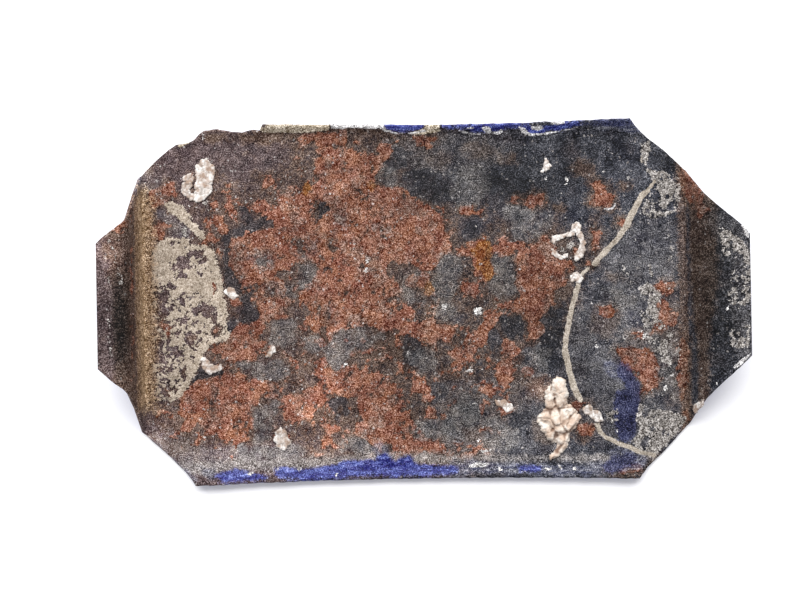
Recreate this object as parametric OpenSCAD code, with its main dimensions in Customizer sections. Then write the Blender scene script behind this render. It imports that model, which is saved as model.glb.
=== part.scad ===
// Enamelled house number plate, pressed from one sheet of steel.
// It lies on its front face with its back up, as it was laid down after it came off the wall.
// X runs along the plate, Y across it, and Z goes up out of its back. The origin is the middle of
// the plate's outline, on the surface that it lies on.
// The sheet is a flat panel with both long edges turned back. At each end it folds up into a wall and
// over a round crest into a flange. The flanges bear on the house wall, and the panel stands proud.

/* [Panel] */
// Length of the panel between its two end folds
panel_l = 164.5; // [120:0.5:300]
// Width of the plate across its two turned-back long edges
plate_w = 109; // [100:0.5:180]
// Thickness of the sheet with its enamel
sheet_t = 1; // [0.6:0.1:1.2]

/* [Long edges] */
// Radius of the turned-back edges, at the middle of the sheet
edge_r = 8; // [3:0.5:10]
// Angle through which the long edges are turned back
edge_turn = 48; // [20:1:70]
// How far each long edge has drawn in at its middle
edge_bow = 1; // [0:0.1:2]

/* [Blank] */
// Width of each end flange at its tip
tip_w = 35.6; // [15:0.2:40]
// Angle of the four cut corners, measured from the plate's length on the flat blank
corner_angle = 44; // [35:1:46]

/* [Folds] */
// Radius of the tight fold where each wall leaves the panel, at the middle of the sheet
fold_r = 1.1; // [1.1:0.1:3]

/* [Left end] */
// Angle through which the left wall is folded up
left_wall_angle = 88; // [45:1:89]
// Length of the flat stretch of the left wall
left_wall_l = 12.2; // [4:0.1:16]
// Radius of the crest between the left wall and its flange, at the middle of the sheet
left_crest_r = 2.2; // [1:0.1:6]
// Slope at which the left flange still rises towards its tip
left_flange_slope = 6; // [0:1:20]
// Length of the flat stretch of the left flange
left_flange_l = 6.2; // [4:0.1:12]

/* [Right end] */
// Angle through which the right wall is folded up
right_wall_angle = 70; // [45:1:89]
// Length of the flat stretch of the right wall
right_wall_l = 6.9; // [4:0.1:16]
// Radius of the crest between the right wall and its flange, at the middle of the sheet
right_crest_r = 8.1; // [1:0.1:10]
// Slope at which the right flange still rises towards its tip
right_flange_slope = 10; // [0:1:20]
// Length of the flat stretch of the right flange
right_flange_l = 6.1; // [4:0.1:12]

/* [Hidden] */
$fn = 96;

// Straight steps in each bend
bend_steps = 16;
// How far the corner cut reaches past each face of the sheet, less than the tight fold's inner radius
cut_reach = 0.3;
// How far a cut runs past the metal that it trims
spare = 3;
// Straight steps in the bow of each long edge, and how far outside the metal the bow starts
bow_steps = 24;
bow_start = 0.05;
// Overlap that joins two stretches of one section
lap = 0.001;
// How far an end's solid runs back into the panel's, to join it
tongue = 2;

edge_run = edge_r * sin(edge_turn);
edge_rise = edge_r * (1 - cos(edge_turn));
flat_half_w = plate_w / 2 - edge_run - sheet_t / 2 * sin(edge_turn);

// Each end is a list of legs, from the panel to the tip. A leg is [turn, size]: a flat has no turn and
// its size is a length, and a bend turns up or down by its angle and its size is a radius.
left_legs = end_legs(left_wall_angle, left_wall_l, left_crest_r, left_flange_slope, left_flange_l);
right_legs = end_legs(right_wall_angle, right_wall_l, right_crest_r, right_flange_slope, right_flange_l);

// The middle of the panel, so that the plate's tips lie at equal distances from the origin
panel_x = (reach(left_legs) - reach(right_legs)) / 2;

// Corner of the panel that has broken away: where the top edge met the left corner cut
lost_corner = [(plate_w / 2 - cut_half_w(left_legs, 0)) / tan(corner_angle) - panel_l / 2, plate_w / 2];
// The broken edge, from the corner cut round to the sound long edge, measured from that corner
broken_edge = [[-7, -6.7], [-4.5, -5.1], [-2.3, -4.9], [-0.1, -4.3], [1.5, -3.3], [2.7, -2.1], [4.3, -1.3],
               [8.5, -1], [12.5, -1.7], [15.8, -2], [18.6, -1.3], [21.1, -1.5], [22.1, -0.2]];

function end_legs(wall_angle, wall_l, crest_r, slope, flange_l) = [
    [wall_angle, fold_r],
    [0, wall_l],
    [slope - wall_angle, crest_r],
    [0, flange_l],
];

// Length of one leg along the middle of the sheet
function leg_length(leg) = leg[0] == 0 ? leg[1] : leg[1] * abs(leg[0]) * PI / 180;

// Length of all legs from number i on, flattened out
function unfolded(legs, i = 0) = i == len(legs) ? 0 : leg_length(legs[i]) + unfolded(legs, i + 1);

// Where a point of a leg lies, a share of the way along it: [x, z, heading, flat distance]
function along(leg, start, share) =
    let (heading = start[2], turned = heading + leg[0] * share, side = sign(leg[0]) * leg[1])
    leg[0] == 0
        ? [start[0] + leg[1] * share * cos(heading), start[1] + leg[1] * share * sin(heading),
           heading, start[3] + leg[1] * share]
        : [start[0] + side * (sin(turned) - sin(heading)), start[1] + side * (cos(heading) - cos(turned)),
           turned, start[3] + leg_length(leg) * share];

// Points along the middle of the sheet, from the start of leg i to the tip
function stations(legs, start = [0, 0, 0, 0], i = 0) =
    i == len(legs) ? [start] :
    let (steps = legs[i][0] == 0 ? 1 : bend_steps)
    concat([for (k = [0 : steps - 1]) along(legs[i], start, k / steps)],
           stations(legs, along(legs[i], start, 1), i + 1));

// The point that lies off a station, square to the sheet: [x, z]
function off_sheet(station, distance) =
    [station[0] - distance * sin(station[2]), station[1] + distance * cos(station[2])];

// How far an end stands out from the panel: to the lower corner of its tip
function reach(legs) = let (points = stations(legs)) off_sheet(points[len(points) - 1], -sheet_t / 2)[0];

// Width from the middle line to the corner cut, at a flat distance from the end fold
function cut_half_w(legs, distance) = tip_w / 2 + (unfolded(legs) - distance) * tan(corner_angle);

// The stations of one end behind a tongue, which lies in the panel and narrows away from the fold
function joined(legs) = concat([[-tongue, 0, 0, tongue]], stations(legs));

// Sheet that follows the legs, as wide as the panel is flat
module folded_sheet(legs) {
    points = joined(legs);
    last = len(points) - 1;
    translate([0, flat_half_w, 0]) rotate([90, 0, 0]) linear_extrude(2 * flat_half_w)
        polygon(concat([for (p = points) off_sheet(p, -sheet_t / 2)],
                       [for (k = [last : -1 : 0]) off_sheet(points[k], sheet_t / 2)]));
}

// The straight corner cuts of the flat blank, carried round the folds: a band that follows the sheet,
// narrows towards the tip and is a little thicker than the sheet
module corner_cuts(legs) {
    points = joined(legs);
    last = points[len(points) - 1];
    rings = concat(points, [along([0, spare], last, 1)]);
    half_t = sheet_t / 2 + cut_reach;
    corners = [for (p = rings, side = [[-1, -1], [1, -1], [1, 1], [-1, 1]])
        let (at = off_sheet(p, side[1] * half_t)) [at[0], side[0] * cut_half_w(legs, p[3]), at[1]]];
    tip = 4 * (len(rings) - 1);
    sides = [for (r = [0 : 4 : tip - 4], c = [0 : 3])
        [r + c, r + 4 + c, r + 4 + (c + 1) % 4, r + (c + 1) % 4]];
    polyhedron(corners, concat([[0, 1, 2, 3]], sides, [[tip + 3, tip + 2, tip + 1, tip]]));
}

// One end, from its fold at the panel outwards along +X
module plate_end(legs) {
    translate([panel_l / 2, 0, sheet_t / 2]) intersection() {
        folded_sheet(legs);
        corner_cuts(legs);
    }
}

// Section of one long edge: a ring of sheet, kept from straight down to the angle it is turned through
module edge_section() {
    far = 2 * edge_r;
    translate([flat_half_w, sheet_t / 2 + edge_r]) intersection() {
        difference() {
            circle(edge_r + sheet_t / 2);
            circle(edge_r - sheet_t / 2);
        }
        polygon([[0, 0], [0, -far], [far * tan(edge_turn), -far]]);
    }
}

// Section of the panel: flat between its two turned-back edges
module panel_section() {
    translate([-flat_half_w - lap, 0]) square([2 * (flat_half_w + lap), sheet_t]);
    for (side = [0, 1]) mirror([side, 0]) edge_section();
}

// Distance from an end fold to where its corner cut meets the long edge
function corner_in(legs) = (plate_w / 2 + bow_start - cut_half_w(legs, 0)) / tan(corner_angle);

// Outline of the panel on the blank: long edges that bow in, and corner cuts down to the end folds
module panel_outline() {
    from = corner_in(left_legs) - panel_l / 2;
    to = panel_l / 2 - corner_in(right_legs);
    bow = edge_bow == 0 ? 0 : edge_bow + bow_start;
    half = concat([[-panel_l / 2, cut_half_w(left_legs, 0)]],
                  [for (k = [0 : bow_steps]) let (share = k / bow_steps)
                      [from + (to - from) * share, plate_w / 2 + bow_start - 4 * bow * share * (1 - share)]],
                  [[panel_l / 2, cut_half_w(right_legs, 0)]]);
    polygon(concat(half, [for (k = [len(half) - 1 : -1 : 0]) [half[k][0], -half[k][1]]]));
}

// The corner that broke away, with the corroded stretch of long edge beside it
module lost_piece() {
    clear = spare + edge_rise;
    translate([lost_corner[0], lost_corner[1], -spare]) linear_extrude(sheet_t + 2 * clear)
        polygon(concat(broken_edge, [[22.1, clear], [-7 - 2 * clear, clear]]));
}

module panel() {
    difference() {
        intersection() {
            rotate([90, 0, 90]) translate([0, 0, -panel_l / 2]) linear_extrude(panel_l) panel_section();
            translate([0, 0, -spare]) linear_extrude(sheet_t + edge_rise + 2 * spare) panel_outline();
        }
        lost_piece();
    }
}

// The pressed sheet, steel and enamel together
module plate() {
    color("dimgray") translate([panel_x, 0, 0]) union() {
        panel();
        plate_end(right_legs);
        mirror([1, 0, 0]) plate_end(left_legs);
    }
}

plate();
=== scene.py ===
import math

import bpy
import numpy as np
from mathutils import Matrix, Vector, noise


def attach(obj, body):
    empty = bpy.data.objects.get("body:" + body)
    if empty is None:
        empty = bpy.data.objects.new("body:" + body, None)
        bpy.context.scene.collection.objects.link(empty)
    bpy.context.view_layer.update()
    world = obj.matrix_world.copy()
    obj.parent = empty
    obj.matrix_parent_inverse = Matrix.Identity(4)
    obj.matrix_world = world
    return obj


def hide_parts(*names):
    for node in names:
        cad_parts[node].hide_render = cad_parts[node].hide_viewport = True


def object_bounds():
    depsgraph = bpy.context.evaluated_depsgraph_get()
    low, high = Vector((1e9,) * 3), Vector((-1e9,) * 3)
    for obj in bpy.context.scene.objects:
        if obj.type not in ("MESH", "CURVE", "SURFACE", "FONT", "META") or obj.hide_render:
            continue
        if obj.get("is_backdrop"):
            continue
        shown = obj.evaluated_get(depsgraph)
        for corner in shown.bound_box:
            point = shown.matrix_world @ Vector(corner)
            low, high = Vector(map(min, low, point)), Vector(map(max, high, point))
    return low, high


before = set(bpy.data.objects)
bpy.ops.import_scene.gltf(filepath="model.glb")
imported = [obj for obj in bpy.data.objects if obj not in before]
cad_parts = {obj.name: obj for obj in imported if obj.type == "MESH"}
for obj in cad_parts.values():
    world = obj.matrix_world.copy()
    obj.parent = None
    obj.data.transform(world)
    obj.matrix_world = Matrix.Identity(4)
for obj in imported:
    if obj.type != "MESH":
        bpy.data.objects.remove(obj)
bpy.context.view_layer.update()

# The plate: one sheet of enamelled steel, cut to a long octagon and pressed. Its long edges are turned
# back, and each end folds up into a wall and over a crest into a flange. It stands here as one closed
# mesh over the same folds, with the relief of rust, lime and chipped enamel on its back.
MM = 0.001
panel_l, plate_w, sheet_t = 164.5, 109.0, 1.0
edge_r, edge_turn = 8.0, math.radians(48)
edge_bow = 1.0
tip_w, corner_slope = 35.6, math.tan(math.radians(44))
left_legs = [(88, 1.1), (0, 12.2), (-82, 2.2), (0, 6.2)]
right_legs = [(70, 1.1), (0, 6.9), (-60, 8.1), (0, 6.1)]
flat_half_w = plate_w / 2 - (edge_r + sheet_t / 2) * math.sin(edge_turn)
fold_x = panel_l / 2
# Steps along the blank in mm, fewest steps in a bend, lines across the panel and lines along the plate
step_mm, bend_steps, panel_lines, long_lines = 0.55, 8, 276, 185
# How far the back's outermost line stays inside the cut edge, and how far the cut edge's two rounded
# rings lie off the middle of the sheet
inset, ring_off = 0.2, 0.26
# The front is smooth and has only every fourth line across
front_skip = 4
# The corner that broke away: where the upper edge met the left corner cut, and the broken edge from
# there, from the cut to the sound long edge
lost_corner = -67.47
broken_edge = [(-7, -6.7), (-4.5, -5.1), (-2.3, -4.9), (-0.1, -4.3), (1.5, -3.3), (2.7, -2.1),
               (4.3, -1.3), (8.5, -1), (12.5, -1.7), (15.8, -2), (18.6, -1.3), (21.1, -1.5),
               (22.1, -0.2)]
# The real cuts wander by up to 1.4 mm, most where the sheet drew in beside its sharp left folds: how
# far along the blank, and how far out of the straight, on the upper and the lower side
upper_wander = [(-103, 0.7), (-100, 0), (-97, -0.5), (-95, -0.4), (-91, 0.1), (-87, 0.5), (-77, 0.5),
                (-74, 0), (66, -0.9), (72, -0.6), (78, 0.3), (90, 0.3), (103.4, 1.1), (105.1, 0.6)]
lower_wander = [(-105, 0), (-101, -0.2), (-99, -0.7), (-95, -1.0), (-91, -1.4), (-87, -0.9),
                (-84, -0.3), (-76, -0.6), (-68, -0.3), (67, 0.2), (75, 0.7), (80, 0.2), (86, -0.4),
                (92, -0.6), (103, -0.5)]
# The long edges draw in over this half length, by this share of edge_bow from place to place
bow_reach = 67.5
upper_bow = [(-45, 0.1), (10, 0.9)]
lower_bow = [(0, 1), (60, 0.85)]


def folded(legs):
    """Follows one end's legs from its fold: rows of flat distance, x, z and heading."""
    rows = [(0.0, 0.0, 0.0, 0.0)]
    for turn, size in legs:
        length = size if turn == 0 else size * abs(math.radians(turn))
        steps = max(math.ceil(length / step_mm), bend_steps if turn else 1)
        for _ in range(steps):
            s, x, z, heading = rows[-1]
            half = math.radians(turn) / steps / 2
            chord = length / steps if turn == 0 else 2 * size * math.sin(abs(half))
            rows.append((s + length / steps, x + chord * math.cos(heading + half),
                         z + chord * math.sin(heading + half), heading + 2 * half))
    return np.array(rows)


left_end, right_end = folded(left_legs), folded(right_legs)
panel_x = ((left_end[-1, 1] + sheet_t / 2 * math.sin(left_end[-1, 3]))
           - (right_end[-1, 1] + sheet_t / 2 * math.sin(right_end[-1, 3]))) / 2


def ramp(at, stops):
    """Reads off a line through stops, each a place and its value."""
    return np.interp(at, *np.array(stops).T)


def half_width(along, side):
    """Half of the blank's width at a distance along it, towards one long edge."""
    wide = np.where(
        along < 0,
        tip_w / 2 + (fold_x + left_end[-1, 0] + along) * corner_slope,
        tip_w / 2 + (fold_x + right_end[-1, 0] - along) * corner_slope)
    wide = wide + ramp(along, upper_wander if side > 0 else lower_wander)
    bow = edge_bow * np.clip(1 - (along / bow_reach) ** 2, 0, 1)
    bow = bow * ramp(along, upper_bow if side > 0 else lower_bow)
    wide = np.minimum(wide, plate_w / 2 - bow)
    if side > 0:
        x, y = np.array(broken_edge).T
        wide = np.where((along > lost_corner + x[0]) & (along < lost_corner + x[-1]),
                        np.minimum(wide, plate_w / 2 + np.interp(along, lost_corner + x, y)), wide)
    # Chips and corrosion nick the cut edge
    nicks = np.array([0.14 * noise.fractal((a / 1.7, side * 9.0, 0.5), 0.9, 2.0, 3)
                      + 0.10 * noise.noise((a / 9.0, side * 5.0, 3.1)) for a in np.ravel(along)])
    return wide + nicks.reshape(np.shape(along))


def on_sheet(along, across, off):
    """Where a place on the flat blank lies once the sheet is pressed, a distance off its middle."""
    end = np.abs(along) > fold_x
    s = np.clip(np.abs(along) - fold_x, 0, None)
    side = np.sign(along)
    legs = [np.where(along < 0, np.interp(s, left_end[:, 0], left_end[:, k]),
                     np.interp(s, right_end[:, 0], right_end[:, k])) for k in (1, 2, 3)]
    turned = np.arcsin(np.clip((np.abs(across) - flat_half_w) / edge_r, 0, 1))
    x = np.where(end, side * (fold_x + legs[0] - off * np.sin(legs[2])), along)
    y = np.where(end, across, across - off * np.sign(across) * np.sin(turned))
    z = np.where(end, legs[1] + off * np.cos(legs[2]),
                 edge_r * (1 - np.cos(turned)) + off * np.cos(turned))
    return np.stack([x + panel_x, y, z + sheet_t / 2], axis=-1)


# Stations along the blank, closer together in the bends, and shares of its width
along = np.concatenate([-fold_x - left_end[:0:-1, 0], np.linspace(-fold_x, fold_x, panel_lines),
                        fold_x + right_end[1:, 0]])
shares = np.linspace(-1, 1, long_lines)
top, bottom = half_width(along, 1), half_width(along, -1)
u = np.repeat(along[:, None], len(shares), axis=1)
u[0] += inset
u[-1] -= inset
y = np.where(shares > 0, (top - inset)[:, None] * shares, (bottom - inset)[:, None] * shares)


def mottle(size, octaves, layer, at=None):
    """Clouded noise, about from -1 to 1, with patches of a size in mm."""
    x, across = at or (u, y)
    rough = [noise.fractal((a / size, b / size, layer), 0.8, 2.0, octaves)
             for a, b in zip(x.flat, across.flat)]
    return np.array(rough).reshape(x.shape)


def beside(line, at):
    """Distance of each place from a line of points, in mm."""
    x, across = at
    near = np.full(x.shape, 1e9)
    for (x1, y1), (x2, y2) in zip(line, line[1:]):
        share = np.clip(((x - x1) * (x2 - x1) + (across - y1) * (y2 - y1))
                        / ((x2 - x1) ** 2 + (y2 - y1) ** 2 + 1e-9), 0, 1)
        near = np.minimum(near, np.hypot(x - x1 - share * (x2 - x1), across - y1 - share * (y2 - y1)))
    return near


def inside(outline, at):
    """How far each place lies within an outline, in mm, and less than nothing outside it."""
    x, across = at
    within = np.zeros(x.shape, bool)
    for (x1, y1), (x2, y2) in zip(outline, outline[1:] + outline[:1]):
        if y1 != y2:
            crossing = (x2 - x1) * (across - y1) / (y2 - y1) + x1
            within ^= ((y1 > across) != (y2 > across)) & (x < crossing)
    near = beside(outline + outline[:1], at)
    return np.where(within, near, -near)


# Marks follow the metal's unevenness, so each is looked up a little to one side of its place
torn = (u + 1.0 * mottle(4, 3, 21.5) + 0.5 * mottle(1.6, 2, 22.5),
        y + 1.0 * mottle(4, 3, 31.5) + 0.5 * mottle(1.6, 2, 32.5))
sharp = (u + 0.25 * mottle(1.5, 2, 23.5), y + 0.25 * mottle(1.5, 2, 33.5))


def spread(patches=(), spots=(), lines=(), at=torn, low=-np.inf, high=np.inf):
    """How far each place lies inside the nearest of these marks, in mm and within limits: outlines,
    ovals (x, y, half sizes) and lines (width, line)."""
    x, across = at
    layers = [inside(p, at) for p in patches]
    layers += [min(rx, ry) * (1 - np.hypot((x - cx) / rx, (across - cy) / ry))
               for cx, cy, rx, ry in spots]
    layers += [w / 2 - beside(line, at) for w, line in lines]
    return np.clip(np.max(layers, axis=0), low, high)


def swelled(field, spots):
    """Raises or lowers a field round spots: x, y, half sizes and how much."""
    for x, cy, rx, ry, more in spots:
        field = field + more * np.exp(-((u - x) / rx) ** 2 - ((y - cy) / ry) ** 2)
    return field


# Rust: the enamel's ground coat was thin on the back, and the steel has rusted through it in sheets
# and islands. All places are in mm on the flat blank, from the middle of the panel.
rust_patches = [
    [(-28.7, 47), (-20.4, 47.8), (-12.2, 46.4), (-9.7, 48.2), (-6, 47.8), (-6.4, 44.5), (-8.6, 41.5),
     (-11.4, 39.1), (-12, 36.3), (-9.9, 35.1), (-3.8, 34.3), (-2.6, 32.5), (2.2, 31.2), (5.9, 29),
     (8.6, 26.2), (10, 22.5), (11.2, 18.8), (9.9, 14.5), (6.8, 10.9), (4.3, 9.1), (-0.5, 11.6),
     (-4.8, 12.3), (-8.5, 10.9), (-4.9, 6.8), (-4.4, 3.1), (-9, 0.8), (-4.5, -3), (-1.5, -6.1),
     (4.7, -5), (10.8, -6.3), (13.2, -8.8), (10.7, -12.4), (5.1, -12.9), (0, -11.6), (-3, -7.9),
     (-7.6, -8.4), (-12.2, -7.1), (-19.8, -7), (-24.5, -9), (-28.4, -7.4), (-33.7, -9.8),
     (-35.1, -6.7), (-33.2, -2.5), (-35, 1.2), (-34.9, 4.9), (-30.3, 7.3), (-29.3, 10.9),
     (-33.2, 14.1), (-35.3, 16.5), (-34.7, 19.6), (-37.7, 22.1), (-40.2, 19.7), (-37.2, 16.6),
     (-35.4, 12.9), (-38.5, 10.5), (-42.2, 10.5), (-38.6, 5.9), (-38, 1.3), (-39.7, -4.2),
     (-44.3, -5.3), (-46.8, -9.3), (-46, -14.5), (-49.1, -16.9), (-55.2, -17.4), (-61.3, -16),
     (-63.4, -13.6), (-62.1, -11.1), (-58.1, -10), (-55, -7), (-53.4, -4.6), (-48.8, -4),
     (-48.5, -0.1), (-50.2, 3), (-47.7, 6), (-51.7, 7), (-55, 9.5), (-56.8, 13.2), (-57, 17.5),
     (-54.8, 20.5), (-50.5, 22.3), (-43.2, 22.8), (-41.9, 25.2), (-43.1, 28.9), (-48, 27.8),
     (-50.7, 30.6), (-47.3, 31.4), (-42.1, 30.7), (-39.3, 33.1), (-37.4, 36.1), (-34.4, 37),
     (-30.7, 34.2), (-28.8, 37.8), (-29.7, 42.4)],
    [(-71.6, -26.3), (-67.2, -22.7), (-62.3, -22.1), (-58.3, -19.8), (-53.7, -20.5), (-50.7, -22.3),
     (-46.1, -23), (-42.2, -23.7), (-42.8, -26.8), (-47.1, -29.1), (-50.9, -32.1), (-49.1, -35.8),
     (-51.6, -41.3), (-54.7, -44.3), (-59.6, -41.8), (-62, -39.3), (-64.8, -39.8), (-67.8, -36.4),
     (-69.3, -38.5), (-73, -39.1), (-71.7, -34.8), (-72.9, -30.2)],
    [(-26.2, -19.7), (-20, -18.9), (-14, -21.2), (-9.7, -22.1), (-5.5, -25), (-3.7, -29.3),
     (-5, -33.5), (-1.4, -35.4), (1, -39.2), (7.1, -42.3), (10.1, -46), (7, -48.4), (0.9, -45.3),
     (-3.7, -46.7), (-7.6, -43.6), (-12.8, -44.4), (-17.4, -41.9), (-19.8, -39.4), (-17.3, -35.8),
     (-18.4, -31.2), (-21.8, -29), (-26.3, -28), (-30, -31), (-32, -35.5), (-36.3, -37), (-40.5, -36),
     (-42.3, -31.7), (-40.4, -28), (-35.5, -26.3), (-31.8, -25.7), (-29.9, -22.1)],
    [(-30.2, -38), (-24.9, -36.9), (-19.8, -38.8), (-20.5, -44.9), (-25.1, -45.4), (-29.6, -43.2)],
    [(22.5, 18), (26.5, 18.5), (32, 17.5), (33.8, 19), (37.5, 18.3), (40.3, 20.7), (42.4, 18.8),
     (43.5, 13.6), (48.4, 11.4), (49.2, 8.3), (46.4, 4.7), (43.3, 2.3), (42.3, -1.6), (40.8, -3.8),
     (39.2, -6.8), (40.1, -9.9), (36.9, -12.9), (35.1, -12.2), (34.6, -7.6), (32.2, -4.5),
     (27.6, -2.9), (26.1, -1.7), (29.8, 0.1), (32.3, 0.1), (29.9, 4.7), (30.6, 9.3), (31.6, 14.8),
     (26.4, 14.8), (23.3, 13.7)],
    [(14.8, 15.7), (17.9, 17.1), (19.8, 19.2), (22.8, 20.4), (23.4, 17.3), (21.5, 13.7), (22.7, 10.6),
     (24.5, 8.2), (22, 6.4), (19.6, 8.8), (17.2, 13.2), (14.2, 13.8)],
    [(14.1, 7.1), (16.5, 8.3), (18.3, 5.2), (20.1, 3.3), (18.8, 0.9), (15.2, 2.8), (12.8, 4.1)],
    [(20.6, -3.4), (23.7, -2.2), (27.6, -3.5), (26, -6.6), (22.9, -8.9), (21.1, -7.4)],
    [(12.2, -13.3), (16.8, -10.4), (21.5, -6.5), (23.6, -9), (21.6, -13.5), (18.2, -15.6),
     (19.7, -19.6), (16.1, -18.6), (13.6, -21.6), (10.5, -19.7), (10, -15.5)],
    [(24.9, -18.2), (29.5, -17.6), (30.1, -21.9), (28.8, -26.8), (25.7, -26.1), (24.6, -21.8)],
    [(33.4, 31.9), (35.9, 32.7), (40.5, 32.6), (39.8, 28.7), (35.8, 28.1), (33.4, 29.1)],
    [(54.3, 35.8), (56.8, 36.3), (59.2, 34.5), (61.6, 31.4), (61.2, 27.7), (57.2, 27.8), (54.8, 28.7),
     (54.2, 31.5), (55.5, 33.3)],
    [(56.1, -2.2), (60.4, -1), (61.6, -3.5), (60.3, -5.9), (57.3, -5.9)],
    [(60.8, -15.7), (65.1, -14.6), (71.2, -15.9), (73.3, -17.2), (74.7, -20.9), (76.5, -24.6),
     (74, -27), (71.5, -28.8), (69.1, -30.2), (68.5, -26.3), (66.1, -22.9), (63.1, -20.1)],
    [(73.6, 3), (75.8, 4.5), (79.5, 4.1), (78.8, 1.7), (76.6, -0.1), (74.2, 1.2)],
    [(73.6, -0.7), (76.9, -0.7), (78.7, -4.4), (80.5, -5.7), (79.8, -8.7), (76.2, -9.3), (73.7, -12.3),
     (71.2, -12.9), (71.9, -8.6), (74.4, -5.6)],
    [(81.3, 40.5), (86.7, 38.4), (89.8, 33.5), (93, 28.7), (94.3, 25.6), (91.6, 22.9), (88.3, 25.6),
     (85.5, 29.5), (81.8, 34.4)],
    [(79.7, -14.5), (81.9, -11.5), (84.3, -14.5), (83.9, -26.8), (81.9, -31.4), (80.7, -28.9),
     (79, -21.6)],
    [(-80.3, 34.1), (-77.2, 37.1), (-74.1, 37.4), (-72.3, 34), (-74.8, 31.6), (-77.9, 31),
     (-79.8, 28.9)],
    [(-79.8, 27.1), (-77.4, 25.8), (-74.4, 23.9), (-77.5, 21.6), (-79.9, 21.6)],
    [(-57.1, 33.7), (-55.2, 34.3), (-55.3, 30.6), (-52.9, 27.9), (-53.5, 25.7), (-56.3, 26.7),
     (-57.4, 30.1)],
    [(-62.7, 27.7), (-60.8, 28), (-58.4, 25.5), (-57.2, 23.6), (-57.9, 22.1), (-60, 22.2), (-61.8, 25)],
    [(-33.4, 51.8), (-24.8, 52.8), (-19.3, 53.2), (-18.9, 48.7), (-26.5, 48.2), (-32.9, 49.2)],
    [(0.1, 50.7), (4.1, 51.5), (7.8, 50.9), (7.4, 48.8), (4.1, 47.7), (1, 48.6)],
    [(-101.9, 22.4), (-99.1, 24.6), (-94.6, 25), (-96.4, 21.9), (-99.1, 20.6)],
]
weak_patches = [
    [(-34.1, 50.1), (-18.8, 50.4), (-5.1, 49.6), (-3.7, 42), (-8.4, 35.9), (2.3, 32.7), (11.3, 26.4),
     (14.3, 18.7), (26.5, 21), (41.8, 21.3), (50.8, 11.4), (49.2, 2.8), (42.8, -9.3), (38.1, -15.3),
     (31.8, -27.5), (19.2, -48.6), (6.9, -49.9), (-72.5, -42.5), (-78.4, -34.7), (-69, -22.6),
     (-62.7, -10.5), (-54.9, 1.6), (-58.7, 10.8), (-60.6, 21.6), (-65.1, 27.8), (-60.4, 33.8),
     (-49.7, 33.6), (-38.9, 38)],
]
rust_spots = [
    (-78, 24.6, 2.1, 1.8), (-77, 32.6, 3.1, 2.4), (48.8, -32.6, 3.1, 1.2), (-38.8, 28.2, 4, 4.3),
    (21.4, 10, 2.8, 2.8), (-46.3, 21, 6.1, 2.1), (-1.5, 27.6, 4.9, 3.7), (1.8, 6.1, 4.3, 2.4),
    (-52.3, 6.4, 1.5, 3.7), (-63.1, 19.8, 2.4, 1.5), (-44.1, 37.8, 3.4, 1.8), (-54, 0.3, 1.5, 1.5),
    (4.2, 4.2, 1.8, 2.4), (29, -15.2, 3.1, 2.8), (34.7, -21.7, 2.4, 2.4), (22, -27.6, 2.8, 1.5),
    (27.7, -34.1, 2.1, 1.8), (19.5, -34, 0.9, 3.1), (21.8, -39.5, 3.7, 1.5), (31.3, 31, 1.5, 1.5),
    (15.9, 27.9, 1.8, 1.2), (19.6, 26.9, 1.5, 1.2), (55.9, 18.6, 1.5, 3.1), (63.3, 23.1, 1.2, 1.2),
    (82.6, -36.3, 1.5, 1.8), (4.2, -33.7, 2.1, 1.8), (14.3, -47, 4.3, 1.2), (51.5, -39.4, 2.8, 2.4),
    (-76.1, -6.6, 1.8, 1.8), (68.8, -11.3, 2.4, 1.2), (53.9, 10.4, 1.5, 0.9), (4.3, -28.5, 3.1, 1.8),
    (-66.3, -41, 2.4, 1.5), (49.7, 14.4, 1.5, 1.5), (-94, 2.1, 0.6, 9.2), (64.7, -52.3, 3.7, 1.5),
    (-42.2, 27.1, 4.9, 2.1), (-2, -4.2, 3.1, 2.8), (-29.2, -19.1, 3.1, 3.1), (1.2, -25.7, 3.1, 3.1),
    (27.3, 14.2, 3.4, 1.2), (39.5, -27.3, 1.8, 2.8), (-44.7, -27.3, 2.4, 2.4), (1.1, -0.6, 1.5, 1.2),
    (-61.9, 3.8, 0.9, 1.8), (-63.4, 39.7, 1.8, 0.9), (-26.2, -22.2, 2.4, 2.4), (23, -40.1, 2.1, 0.9),
]
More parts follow.
